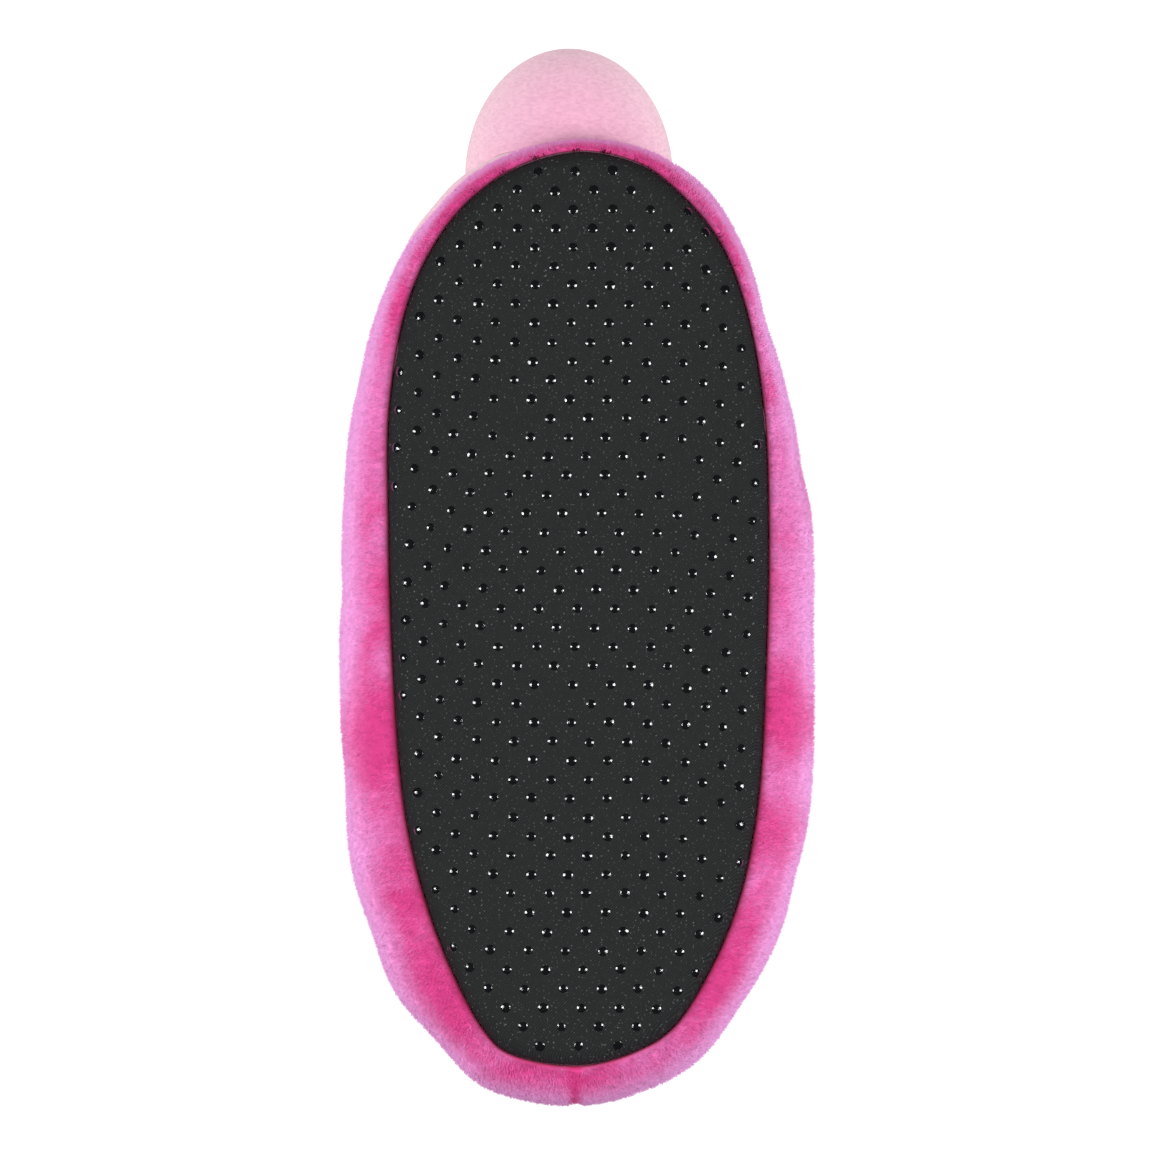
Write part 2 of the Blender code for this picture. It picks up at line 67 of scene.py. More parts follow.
# station along the foot, sole edge right and left, plush past the edge right and left
SECTIONS = [
    (0.000, 0.000, 0.000, 0.72, 0.72),
    (0.015, 0.370, 0.290, 0.75, 0.72),
    (0.040, 0.490, 0.485, 0.80, 0.74),
    (0.100, 0.645, 0.675, 1.05, 0.81),
    (0.180, 0.790, 0.835, 1.12, 0.87),
    (0.280, 0.900, 0.932, 1.06, 0.90),
    (0.440, 0.962, 0.979, 0.94, 0.87),
    (0.600, 0.985, 0.992, 0.79, 0.76),
    (0.720, 0.980, 0.967, 0.64, 0.53),
    (0.830, 0.890, 0.872, 0.48, 0.39),
    (0.900, 0.740, 0.740, 0.42, 0.37),
    (0.950, 0.545, 0.550, 0.36, 0.39),
    (0.985, 0.290, 0.335, 0.29, 0.31),
    (1.000, 0.000, 0.000, 0.25, 0.25),
]


def sole_outline():
    """Dense closed outline of the sole: x, y and bulge, from the toe tip by the left."""
    half = BALL_WIDTH / 2
    rows = [(SOLE_LENGTH, TOE_TIP_OFFSET, SECTIONS[-1][3] * SIDE_BULGE)]
    rows += [(s * SOLE_LENGTH, left * half, out * SIDE_BULGE)
             for s, _, left, _, out in reversed(SECTIONS[1:-1])]
    rows += [(0.0, 0.0, SECTIONS[0][3] * SIDE_BULGE)]
    rows += [(s * SOLE_LENGTH, -right * half, out * SIDE_BULGE)
             for s, right, _, out, _ in SECTIONS[1:-1]]
    rows = np.array(rows)
    dense = []
    for index in range(len(rows)):
        p0, p1, p2, p3 = (rows[(index + step) % len(rows)] for step in (-1, 0, 1, 2))
        gaps = [np.linalg.norm((b - a)[:2]) ** 0.5 for a, b in ((p0, p1), (p1, p2), (p2, p3))]
        t0, t1, t2, t3 = np.cumsum([0.0] + gaps)
        for t in np.linspace(t1, t2, 60, endpoint=False):
            a1 = (t1 - t) / (t1 - t0) * p0 + (t - t0) / (t1 - t0) * p1
            a2 = (t2 - t) / (t2 - t1) * p1 + (t - t1) / (t2 - t1) * p2
            a3 = (t3 - t) / (t3 - t2) * p2 + (t - t2) / (t3 - t2) * p3
            b1 = (t2 - t) / (t2 - t0) * a1 + (t - t0) / (t2 - t0) * a2
            b2 = (t3 - t) / (t3 - t1) * a2 + (t - t1) / (t3 - t1) * a3
            dense.append((t2 - t) / (t2 - t1) * b1 + (t - t1) / (t2 - t1) * b2)
    return np.array(dense)


OUTLINE = sole_outline()
STEPS = np.linalg.norm(np.diff(OUTLINE[:, :2], axis=0, append=OUTLINE[:1, :2]), axis=1)
ARC = np.append(0.0, np.cumsum(STEPS)) / STEPS.sum()
LOOP = np.vstack([OUTLINE, OUTLINE[:1]])


def edge(around):
    """Sole edge x, y and bulge at shares of the outline counted from the toe tip."""
    around = np.asarray(around) % 1.0
    return np.stack([np.interp(around, ARC, LOOP[:, column]) for column in range(3)], -1)


def edge_normal(around):
    """Outward direction of the sole's outline, in plan."""
    along = edge(np.asarray(around) + 0.003)[..., :2] - edge(np.asarray(around) - 0.003)[..., :2]
    along /= np.linalg.norm(along, axis=-1, keepdims=True)
    return np.stack([along[..., 1], -along[..., 0]], -1)


def roll(x):
    """Height that the underside gains where it rolls up at toe and heel."""
    toe = np.maximum(0.0, (x - (SOLE_LENGTH - TOE_ROLL_LENGTH)) / TOE_ROLL_LENGTH)
    heel = np.maximum(0.0, (HEEL_ROLL_LENGTH - x) / HEEL_ROLL_LENGTH)
    return TOE_ROLL * SOLE_THICKNESS * toe ** 2 + HEEL_ROLL * SOLE_THICKNESS * heel ** 2


# The shoe's frame has X from heel to toe, Y to its left and Z up from the sole. Laid on
# its left side, it is turned about X and stood where the record has its sole's face.
TURN = Matrix.Rotation(-(math.pi / 2 + LEAN), 3, "X")
sole_face = next(m for m in frame["record"]["mounts"] if m["name"] == "sole_face")
SHIFT = Vector((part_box("outsole")[0].x, *sole_face["pos_m"][1:]))


def laid(points):
    """Points of the shoe's frame where they are as the slipper lies."""
    return np.asarray(points, float) @ np.array(TURN).T + np.array(SHIFT)


def grid_mesh(name, rings, wrap_rows=False, cap_first=False, cap_last=False):
    """Closed mesh from an array of rings of points: row, place in the ring, xyz."""
    rings = np.asarray(rings, float)
    rows, count = rings.shape[:2]
    index = np.arange(rows * count).reshape(rows, count)
    after = np.roll(index, -1, axis=1)
    above = np.roll(index, -1, axis=0)
    above_after = np.roll(after, -1, axis=0)
    if not wrap_rows:
        index, after, above, above_after = (a[:-1] for a in (index, after, above, above_after))
    quads = np.stack([index, after, above_after, above], -1).reshape(-1, 4)
    points = rings.reshape(-1, 3)
    faces = quads.tolist()
    whole = np.arange(rows * count).reshape(rows, count)
    if cap_first:
        middle = len(points)
        points = np.vstack([points, rings[0].mean(0)])
        faces += [(middle, whole[0][(i + 1) % count], whole[0][i]) for i in range(count)]
    if cap_last:
        middle = len(points)
        points = np.vstack([points, rings[-1].mean(0)])
        faces += [(middle, whole[-1][i], whole[-1][(i + 1) % count]) for i in range(count)]
    mesh = bpy.data.meshes.new(name)
    mesh.from_pydata(laid(points).tolist(), [], faces)
    outward(mesh)
    mesh.shade_smooth()
    return mesh


def outward(mesh):
    """Turn the faces of a closed mesh outwards."""
    shape = bmesh.new()
    shape.from_mesh(mesh)
    bmesh.ops.recalc_face_normals(shape, faces=shape.faces[:])
    shape.to_mesh(mesh)
    shape.free()


def show(mesh, *finishes):
    """Object for a finished mesh, with its materials, riding on the shoe."""
    thing = bpy.data.objects.new(mesh.name, mesh)
    bpy.context.scene.collection.objects.link(thing)
    mesh.materials.clear()
    for finish in finishes:
        mesh.materials.append(finish)
    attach(thing, "root")
    return thing


def plain_material(name, colour, roughness):
    """New material: its nodes, links and Principled surface."""
    made = bpy.data.materials.new(name)
    made.use_nodes = True
    nodes, links = made.node_tree.nodes, made.node_tree.links
    surface = nodes["Principled BSDF"]
    surface.inputs["Base Color"].default_value = (*colour, 1.0)
    surface.inputs["Roughness"].default_value = roughness
    return made, nodes, links, surface


def shoe_coordinates(nodes, links):
    """Object coordinates turned back into the shoe's own frame."""
    place = nodes.new("ShaderNodeTexCoord")
    turned = nodes.new("ShaderNodeMapping")
    turned.vector_type = "TEXTURE"
    turned.inputs["Location"].default_value = SHIFT
    turned.inputs["Rotation"].default_value = (-(math.pi / 2 + LEAN), 0.0, 0.0)
    links.new(place.outputs["Object"], turned.inputs["Vector"])
    return turned.outputs["Vector"]


def twill_material():
    made, nodes, links, surface = plain_material("black_twill", (0.022, 0.026, 0.027), 0.78)
    place = shoe_coordinates(nodes, links)
    rib = nodes.new("ShaderNodeTexWave")
    rib.wave_type, rib.bands_direction, rib.wave_profile = "BANDS", "DIAGONAL", "SIN"
    rib.inputs["Scale"].default_value = 755.0
    rib.inputs["Distortion"].default_value = 1.5
    rib.inputs["Detail"].default_value = 2.0
    rib.inputs["Detail Scale"].default_value = 1.5
    mirrored = nodes.new("ShaderNodeMapping")
    mirrored.inputs["Scale"].default_value = (1.0, -1.0, 1.0)
    links.new(place, mirrored.inputs["Vector"])
    links.new(mirrored.outputs["Vector"], rib.inputs["Vector"])
    blotch = nodes.new("ShaderNodeTexNoise")
    blotch.inputs["Scale"].default_value = 420.0
    blotch.inputs["Detail"].default_value = 8.0
    blotch.inputs["Roughness"].default_value = 0.7
    links.new(place, blotch.inputs["Vector"])
    shade = nodes.new("ShaderNodeValToRGB")
    shade.color_ramp.elements[0].color = (0.0075, 0.0085, 0.0088, 1.0)
    shade.color_ramp.elements[1].color = (0.0225, 0.0245, 0.0245, 1.0)
    mixed = nodes.new("ShaderNodeMix")
    mixed.inputs["Factor"].default_value = 0.45
    links.new(rib.outputs["Fac"], mixed.inputs["A"])
    links.new(blotch.outputs["Fac"], mixed.inputs["B"])
    links.new(mixed.outputs["Result"], shade.inputs["Fac"])
    lint = nodes.new("ShaderNodeTexNoise")
    lint.inputs["Scale"].default_value = 1500.0
    lint.inputs["Detail"].default_value = 1.0
    links.new(place, lint.inputs["Vector"])
    speck = nodes.new("ShaderNodeMapRange")
    speck.inputs["From Min"].default_value = 0.66
    speck.inputs["From Max"].default_value = 0.76
    speck.inputs["To Max"].default_value = 0.7
    links.new(lint.outputs["Fac"], speck.inputs["Value"])
    dusted = nodes.new("ShaderNodeMix")
    dusted.data_type = "RGBA"
    dusted.inputs["B"].default_value = (0.13, 0.14, 0.14, 1.0)
    links.new(speck.outputs["Result"], dusted.inputs["Factor"])
    links.new(shade.outputs["Color"], dusted.inputs["A"])
    links.new(dusted.outputs["Result"], surface.inputs["Base Color"])
    raised = nodes.new("ShaderNodeBump")
    raised.inputs["Strength"].default_value = 0.5
    raised.inputs["Distance"].default_value = 0.0002
    links.new(rib.outputs["Fac"], raised.inputs["Height"])
    links.new(raised.outputs["Normal"], surface.inputs["Normal"])
    surface.inputs["Specular IOR Level"].default_value = 0.2
    return made


black_twill = twill_material()


def outsole_mesh():
    """Underside, rounded edge and flat top of the sole."""
    around = np.arange(COLUMNS) / COLUMNS
    flat = edge(around)[:, :2] - edge_normal(around) * EDGE_RADIUS
    middle = np.array([SOLE_LENGTH / 2, 0.0])
    rings = []
    for share in np.linspace(0.04, 0.98, 26):
        plan = middle + (flat - middle) * share
        rings.append(np.column_stack([plan, roll(plan[:, 0])]))
    for turn in np.linspace(0, math.pi / 2, 9):
        plan = edge(around)[:, :2] - edge_normal(around) * EDGE_RADIUS * (1 - math.sin(turn))
        height = roll(plan[:, 0]) + EDGE_RADIUS * (1 - math.cos(turn))
        rings.append(np.column_stack([plan, height]))
    rings.append(np.column_stack([edge(around)[:, :2], np.full(COLUMNS, SOLE_THICKNESS)]))
    return grid_mesh("outsole_cloth", rings, cap_first=True, cap_last=True)


outsole = show(outsole_mesh(), black_twill)
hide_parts("outsole")


# Grip dots. Drops of clear black rubber printed on the twill in staggered rows, about
# ten across the foot. The rows lean a little, and a few drops are small or missing.

DOT_DIAMETER = 0.0026
DOT_HEIGHT = 0.00037
DOT_PITCH = 0.01018
DOT_TURN = math.radians(2.4)
DOT_MARGIN = 0.0012
DOT_SPLAY = 3.9
DOT_WOBBLE = 0.035


def dot_places():
    """Lattice points inside the outline: x, y, size."""
    pick = np.random.default_rng(7)
    shape = edge(np.arange(2000) / 2000)[:, :2]
    places = []
    for row in range(-60, 60):
        for column in range(-30, 30):
            if (row + column) % 2:
                continue
            a, b = row * DOT_PITCH / 2, column * DOT_PITCH / 2
            x = SOLE_LENGTH / 2 + a * math.cos(DOT_TURN) - b * math.sin(DOT_TURN)
            y = a * math.sin(DOT_TURN) + b * math.cos(DOT_TURN)
            x += 0.0007 * math.sin(y * 70) + pick.normal(0, 0.00013)
            y += 0.0005 * math.sin(x * 45) + pick.normal(0, 0.00013)
            size = pick.uniform(0.9, 1.08)
            gone = pick.random()
            near = np.hypot(shape[:, 0] - x, shape[:, 1] - y)
            inside = np.interp(x, *sole_side(1)) > y > np.interp(x, *sole_side(-1))
            if not inside or near.min() < DOT_MARGIN or not 0.002 < x < SOLE_LENGTH - 0.002:
                continue
            if gone > 0.012:
                places.append((x, y, size))
    return np.array(places)


def sole_side(side):
    """x and y along one side of the sole's outline, from heel to toe."""
    around = np.linspace(0.5, 0.0, 400) * side
    return edge(around)[:, 0], edge(around)[:, 1]


def sole_skin(x, y):
    """Height of the underside, with its rounded edge, at points in plan."""
    shape = edge(np.arange(2000) / 2000)[:, :2]
    near = np.array([np.hypot(shape[:, 0] - a, shape[:, 1] - b).min() for a, b in zip(x, y)])
    inset = np.clip(1 - near / EDGE_RADIUS, 0, 1)
    return roll(x) + EDGE_RADIUS * (1 - np.sqrt(1 - inset ** 2))


def rubber_material():
    made, nodes, links, surface = plain_material("grip_rubber", (0.006, 0.007, 0.008), 0.10)
    surface.inputs["IOR"].default_value = 1.9
    surface.inputs["Coat Weight"].default_value = 1.0
    surface.inputs["Coat Roughness"].default_value = 0.05
    wobble = nodes.new("ShaderNodeTexNoise")
    wobble.inputs["Scale"].default_value = 1400.0
    place = nodes.new("ShaderNodeTexCoord")
    links.new(place.outputs["Object"], wobble.inputs["Vector"])
    raised = nodes.new("ShaderNodeBump")
    raised.inputs["Strength"].default_value = 0.6
    raised.inputs["Distance"].default_value = 0.0002
    links.new(wobble.outputs["Fac"], raised.inputs["Height"])
    links.new(raised.outputs["Normal"], surface.inputs["Normal"])
    return made


grip_rubber = rubber_material()


def drop_mesh():
    """One drop, a unit across and high: a round cap on a short straight foot."""
    rings = [[(math.cos(t) * r, math.sin(t) * r, z) for t in np.arange(16) * math.pi / 8]
             for r, z in ((1.0, -0.6), (1.0, 0.0), (0.97, 0.06), (0.86, 0.26), (0.70, 0.51),
                          (0.48, 0.77), (0.24, 0.942))]
    mesh = bpy.data.meshes.new("drop")
    index = np.arange(16)
    faces = [(row * 16 + i, row * 16 + (i + 1) % 16, row * 16 + 16 + (i + 1) % 16, row * 16 + 16 + i)
             for row in range(6) for i in index]
    faces += [(96 + i, 96 + (i + 1) % 16, 112) for i in index]
    faces += [tuple(index[::-1])]
    mesh.from_pydata([point for ring in rings for point in ring] + [(0, 0, 1)], [], faces)
    mesh.shade_smooth()
    return mesh


drop = bpy.data.objects.new("drop", drop_mesh())
bpy.context.scene.collection.objects.link(drop)


def dot_tree():
    """Geometry Nodes: a low dome on every point, turned to the cloth."""
    tree = bpy.data.node_groups.new("grip_dots", "GeometryNodeTree")
    face = tree.interface
    face.new_socket("Geometry", in_out="INPUT", socket_type="NodeSocketGeometry")
    for label, value in (("Diameter", DOT_DIAMETER), ("Height", DOT_HEIGHT)):
        face.new_socket(label, in_out="INPUT", socket_type="NodeSocketFloat").default_value = value
    face.new_socket("Geometry", in_out="OUTPUT", socket_type="NodeSocketGeometry")
    nodes, links = tree.nodes, tree.links
    entry, leave = nodes.new("NodeGroupInput"), nodes.new("NodeGroupOutput")
    ball = nodes.new("GeometryNodeObjectInfo")
    ball.inputs["Object"].default_value = drop
    half = nodes.new("ShaderNodeMath")
    half.operation = "MULTIPLY"
    half.inputs[1].default_value = 0.5
    links.new(entry.outputs["Diameter"], half.inputs[0])
    size = nodes.new("ShaderNodeCombineXYZ")
    for axis, source in (("X", half.outputs[0]), ("Y", half.outputs[0]), ("Z", entry.outputs["Height"])):
        links.new(source, size.inputs[axis])
    shaped = nodes.new("GeometryNodeTransform")
    links.new(ball.outputs["Geometry"], shaped.inputs["Geometry"])
    links.new(size.outputs["Vector"], shaped.inputs["Scale"])
    points = nodes.new("GeometryNodeMeshToPoints")
    links.new(entry.outputs["Geometry"], points.inputs["Mesh"])
    skin = nodes.new("GeometryNodeInputNamedAttribute")
    skin.data_type = "FLOAT_VECTOR"
    skin.inputs["Name"].default_value = "skin"
    turned = nodes.new("FunctionNodeAlignRotationToVector")
    turned.axis = "Z"
    links.new(skin.outputs["Attribute"], turned.inputs["Vector"])
    scale = nodes.new("GeometryNodeInputNamedAttribute")
    scale.data_type = "FLOAT"
    scale.inputs["Name"].default_value = "size"
    set_out = nodes.new("GeometryNodeInstanceOnPoints")
    links.new(points.outputs["Points"], set_out.inputs["Points"])
    links.new(shaped.outputs["Geometry"], set_out.inputs["Instance"])
    links.new(turned.outputs["Rotation"], set_out.inputs["Rotation"])
    links.new(scale.outputs["Attribute"], set_out.inputs["Scale"])
    real = nodes.new("GeometryNodeRealizeInstances")
    links.new(set_out.outputs["Instances"], real.inputs["Geometry"])
    smooth = nodes.new("GeometryNodeSetShadeSmooth")
    links.new(real.outputs["Geometry"], smooth.inputs["Geometry"])
    coat = nodes.new("GeometryNodeSetMaterial")
    coat.inputs["Material"].default_value = grip_rubber
    links.new(smooth.outputs["Geometry"], coat.inputs["Geometry"])
    links.new(coat.outputs["Geometry"], leave.inputs["Geometry"])
    return tree


def grown(name, seeds, tree, sizes):
    """Plain mesh of a Geometry Nodes tree run on seed points, with its named sizes set."""
    thing = bpy.data.objects.new(name + "_seeds", seeds)
    bpy.context.scene.collection.objects.link(thing)
    step = thing.modifiers.new(name, "NODES")
    step.node_group = tree
    for item in tree.interface.items_tree:
        if item.in_out == "INPUT" and item.name in sizes:
            step[item.identifier] = sizes[item.name]
    live = thing.evaluated_get(bpy.context.evaluated_depsgraph_get())
    made = bpy.data.meshes.new_from_object(live)
    made.name = name
    bpy.data.objects.remove(thing, do_unlink=True)
    bpy.data.meshes.remove(seeds)
    return made


def seed_mesh(name, points, vectors, numbers):
    """Loose points with named vectors and numbers for a Geometry Nodes tree."""
    mesh = bpy.data.meshes.new(name)
    mesh.from_pydata(np.asarray(points).tolist(), [], [])
    for label, values in vectors.items():
        mesh.attributes.new(label, "FLOAT_VECTOR", "POINT").data.foreach_set(
            "vector", np.asarray(values, np.float32).ravel())
    for label, values in numbers.items():
        mesh.attributes.new(label, "FLOAT", "POINT").data.foreach_set(
            "value", np.asarray(values, np.float32).ravel())
    return mesh


def grip_dots_mesh():
    """All the dots as one mesh, standing on the underside and square to it."""
    x, y, size = dot_places().T
    step = 0.0004
    height = sole_skin(x, y)
    slope_x = (sole_skin(x + step, y) - sole_skin(x - step, y)) / (2 * step)
    slope_y = (sole_skin(x, y + step) - sole_skin(x, y - step)) / (2 * step)
    tilt = np.random.default_rng(8).normal(0, DOT_WOBBLE, (2, len(x)))
    skin = np.column_stack([slope_x + tilt[0], slope_y + DOT_SPLAY * y + tilt[1],
                            -np.ones(len(x))])
    skin /= np.linalg.norm(skin, axis=1, keepdims=True)
    seeds = seed_mesh("grip_seeds", laid(np.column_stack([x, y, height])),
                      {"skin": skin @ np.array(TURN).T}, {"size": size})
    return grown("grip_dots", seeds, dot_tree(),
                 {"Diameter": DOT_DIAMETER, "Height": DOT_HEIGHT})


grip_dots = show(grip_dots_mesh(), grip_rubber)
bpy.data.objects.remove(drop, do_unlink=True)


# Upper. One padded ring of hot pink velour over filling, lined with pale fleece. It is
# sewn to the sole's edge, bulges past it, and closes to the collar where the foot goes in.

BULGE_HEIGHT = 0.021
HEEL_HEIGHT = 0.062
SIDE_HEIGHT = 0.056
INSTEP_HEIGHT = 0.088
COLLAR_BACK = 0.003
COLLAR_LENGTH = 0.127
COLLAR_WIDTH = 0.102
COLLAR_MIDDLE = 0.46
COLLAR_SQUARENESS = 2.3
WALL_LOW = 0.0085
WALL_RIM = 0.0068
SEAM_SHARE = 0.28
SEAM_TUCK = math.radians(24)
SIDE_CURL = math.radians(62)
INSTEP_CURL = math.radians(78)
PRESSED_IN = 0.0024
PRESS_BLEND = 0.0014
GAP = 0.0003
SEAM_ROWS = 26
WALL_ROWS = 64


def collar(around):
    """Outer edge of the collar on the lines from its middle to the sole edge."""
    middle = COLLAR_BACK + COLLAR_MIDDLE * COLLAR_LENGTH
    rim_line = edge(around)
    angle = np.arctan2(rim_line[..., 1], rim_line[..., 0] - middle)
    front = np.cos(angle) > 0
    reach = np.where(front, COLLAR_BACK + COLLAR_LENGTH - middle, middle - COLLAR_BACK)
    power = COLLAR_SQUARENESS
    along = (np.abs(np.cos(angle)) / reach) ** power
    across = (np.abs(np.sin(angle)) / (COLLAR_WIDTH / 2)) ** power
    radius = (along + across) ** (-1 / power)
    end_height = np.where(front, INSTEP_HEIGHT, HEEL_HEIGHT)
    height = SIDE_HEIGHT + (end_height - SIDE_HEIGHT) * np.cos(angle) ** 2
    curl = SIDE_CURL + (INSTEP_CURL - SIDE_CURL) * np.maximum(0.0, np.cos(angle)) ** 2
    point = np.stack([middle + radius * np.cos(angle), radius * np.sin(angle), height], -1)
    return point, curl


def bulge_foot(around, share, reach, foot_height, tuck):
    """Lower part of the wall: out from the sole edge and up to the widest level."""
    turn = -tuck + share * (math.pi / 2 + tuck)
    out = (np.sin(turn) + np.sin(tuck)) / (1 + np.sin(tuck))
    plan = edge(around)[..., :2] + edge_normal(around) * (GAP + (reach - GAP) * out)[..., None]
    drop = (BULGE_HEIGHT - foot_height) / np.cos(tuck)
    return np.concatenate([plan, (BULGE_HEIGHT - drop * np.cos(turn))[..., None]], -1)


def unpressed(around, up):
    """Outer face of the upper, from the seam (up 0) to the collar (up 1)."""
    around, up = np.broadcast_arrays(np.asarray(around, float), np.asarray(up, float))
    rim_line = edge(around)
    foot = EDGE_RADIUS + roll(rim_line[..., 0])
    low = bulge_foot(around, np.minimum(up / SEAM_SHARE, 1.0), rim_line[..., 2], foot, SEAM_TUCK)
    top, curl = collar(around)
    turn = np.maximum(up - SEAM_SHARE, 0.0) / (1 - SEAM_SHARE) * curl
    inward = (1 - np.cos(turn)) / (1 - np.cos(curl))
    upward = np.sin(turn) / np.sin(curl)
    shares = np.stack([inward, inward, upward], -1)
    widest = bulge_foot(around, np.ones_like(up), rim_line[..., 2], foot, SEAM_TUCK)
    return np.where((up < SEAM_SHARE)[..., None], low, widest + (top - widest) * shares)


def face_normal(face, around, up):
    """Outward direction of a face of the upper, from its slopes round and up."""
    around, up = np.broadcast_arrays(np.asarray(around, float), np.asarray(up, float))
    low, high = np.maximum(0.0, up - 0.003), np.minimum(1.0, up + 0.003)
    along = face(around + 0.003, up) - face(around - 0.003, up)
    normal = np.cross(along, face(around, high) - face(around, low))
    return normal / np.linalg.norm(normal, axis=-1, keepdims=True)


def down_reach(points):
    """Distance of points towards the floor that the left side lies on."""
    return points[..., 1] * math.cos(LEAN) + points[..., 2] * math.sin(LEAN)


SIDE_GRID = np.meshgrid(np.linspace(0, 0.5, 101), np.linspace(0, 1, 41))
FLOOR_REACH = down_reach(unpressed(*SIDE_GRID)).max() - PRESSED_IN


def pressed(points):
    """The same points pushed back where the floor flattens the plush, softly."""
    over = down_reach(points) - FLOOR_REACH
    eased = -(np.clip(over, -PRESS_BLEND, PRESS_BLEND) - PRESS_BLEND) ** 2 / (4 * PRESS_BLEND)
    flattened = np.where(over >= PRESS_BLEND, 0.0, eased)
    shift = np.where(over <= -PRESS_BLEND, 0.0, flattened - over)
    return points + shift[..., None] * np.array([0.0, math.cos(LEAN), math.sin(LEAN)])


# Creases and swells of the padding. around: share of the outline from the toe tip by the
# left. up: share from seam to collar. wide, tall: half sizes as shares. lift: metres.
CREASES = [
    # around, up, wide, tall, lift
    (-0.330, 0.30, 0.020, 0.16, -0.0014),
    (-0.290, 0.34, 0.024, 0.20, -0.0006),
    (-0.395, 0.30, 0.018, 0.20, -0.0012),
    (-0.360, 0.36, 0.016, 0.16, -0.0002),
    (-0.245, 0.40, 0.014, 0.30, -0.0009),
    (-0.190, 0.45, 0.022, 0.30, 0.0001),
    (-0.150, 0.55, 0.012, 0.30, -0.0010),
    (-0.445, 0.40, 0.016, 0.30, -0.0009),
    (0.185, 0.30, 0.016, 0.20, -0.0010),
    (0.120, 0.35, 0.014, 0.20, -0.0012),
    (0.150, 0.38, 0.016, 0.25, -0.0004),
    (0.260, 0.45, 0.020, 0.30, -0.0010),
    (0.320, 0.60, 0.016, 0.20, 0.0010),
    (0.370, 0.45, 0.014, 0.30, -0.0010),
    (0.430, 0.50, 0.016, 0.30, -0.0010),
    (0.060, 0.25, 0.016, 0.20, 0.0005),
    (0.125, 0.30, 0.050, 0.30, -0.0008),
    (-0.070, 0.28, 0.012, 0.16, -0.0008),
    (0.470, 0.70, 0.010, 0.25, -0.0009),
    (-0.475, 0.72, 0.010, 0.25, -0.0009),
]
HEEL_SEAM_DEPTH = 0.0007
HEEL_SEAM_WIDTH = 0.0022
GATHER_DEPTH = 0.00035
PILE_DEPTH = 0.0008

# Where the nap lies deep or pale: the shoe's side (1 left), place from the heel, share up,
# length and height of the patch, and how much deeper (below 0) or paler it is.
NAP_PATCHES = [
    (-1, 0.127, 0.03, 0.012, 0.07, -0.55),
    (-1, 0.088, 0.14, 0.013, 0.22, -0.75),
    (-1, 0.108, 0.20, 0.010, 0.16, 0.30),
    (-1, 0.060, 0.28, 0.018, 0.16, 0.35),
    (-1, 0.040, 0.03, 0.030, 0.07, -0.45),
    (-1, 0.012, 0.10, 0.012, 0.14, -0.35),
    (-1, 0.150, 0.14, 0.026, 0.20, 0.25),
    (-1, 0.205, 0.05, 0.020, 0.08, -0.35),
    (1, 0.093, 0.14, 0.009, 0.24, -0.80),
    (1, 0.120, 0.14, 0.016, 0.22, 0.45),
    (1, 0.155, 0.30, 0.012, 0.13, -0.65),
    (1, 0.076, 0.16, 0.006, 0.16, 0.45),
    (1, 0.064, 0.12, 0.010, 0.18, -0.45),
    (1, 0.048, 0.28, 0.012, 0.16, 0.30),
    (1, 0.030, 0.05, 0.014, 0.10, -0.40),
    (1, 0.185, 0.16, 0.014, 0.16, 0.25),
    (1, 0.225, 0.06, 0.020, 0.12, -0.45),
    (1, 0.246, 0.08, 0.016, 0.26, -0.45),
    (-1, 0.246, 0.08, 0.016, 0.26, -0.45),
    (-1, 0.224, 0.06, 0.016, 0.12, -0.40),
]
# How far up from the sole's seam the painted seam shade reaches, as a share of the way up.
SEAM_SHADE_REACH = 0.011


def swell(around, up):
    """How far the plush stands out of or sinks into its plain form."""
    lift = np.zeros(np.broadcast(around, up).shape)
    for centre, level, wide, tall, height in CREASES:
        off = (np.asarray(around) - centre + 0.5) % 1.0 - 0.5
        lift = lift + height * np.exp(-(off / wide) ** 2 - ((up - level) / tall) ** 2)
    off = (np.asarray(around) % 1.0) - 0.5
    lift = lift - HEEL_SEAM_DEPTH * np.exp(-(off / HEEL_SEAM_WIDTH) ** 2)
    pull = np.exp(-(np.asarray(up) / 0.09) ** 2) * np.sin(np.asarray(around) * 2 * math.pi * 62)
    lift = lift + GATHER_DEPTH * pull
    fade = np.clip(np.asarray(up) / 0.05, 0, 1) * np.clip((1 - np.asarray(up)) / 0.05, 0, 1)
    return (lift - PILE_DEPTH) * fade


def brush(around, up):
    """How deep (below 0) or pale (above 0) the nap is brushed, and deeper along the heel seam."""
    around, up = np.broadcast_arrays(np.asarray(around, float), np.asarray(up, float))
    place = edge(around)
    tone = np.zeros(up.shape)
    for side, x, level, long, tall, amount in NAP_PATCHES:
        near = 1 / (1 + np.exp(-side * place[..., 1] / 0.004))
        reach = ((place[..., 0] - x) / long) ** 2 + ((up - level) / tall) ** 2
        tone += amount * near * np.exp(-reach)
    off = (around % 1.0) - 0.5
    return tone - 1.2 * np.exp(-(off / HEEL_SEAM_WIDTH) ** 2)


def outer(around, up):
    """Outer face of the upper as it lies, with its swells."""
    plain = unpressed(around, up)
    lifted = plain + face_normal(unpressed, around, up) * swell(around, up)[..., None]
    return pressed(lifted)


def plain_outer(around, up):
    return pressed(unpressed(around, up))


def off_upper(around, up, distance):
    """Points at a distance off the upper's plain outer face."""
    return outer(around, up) + face_normal(outer, around, up) * distance


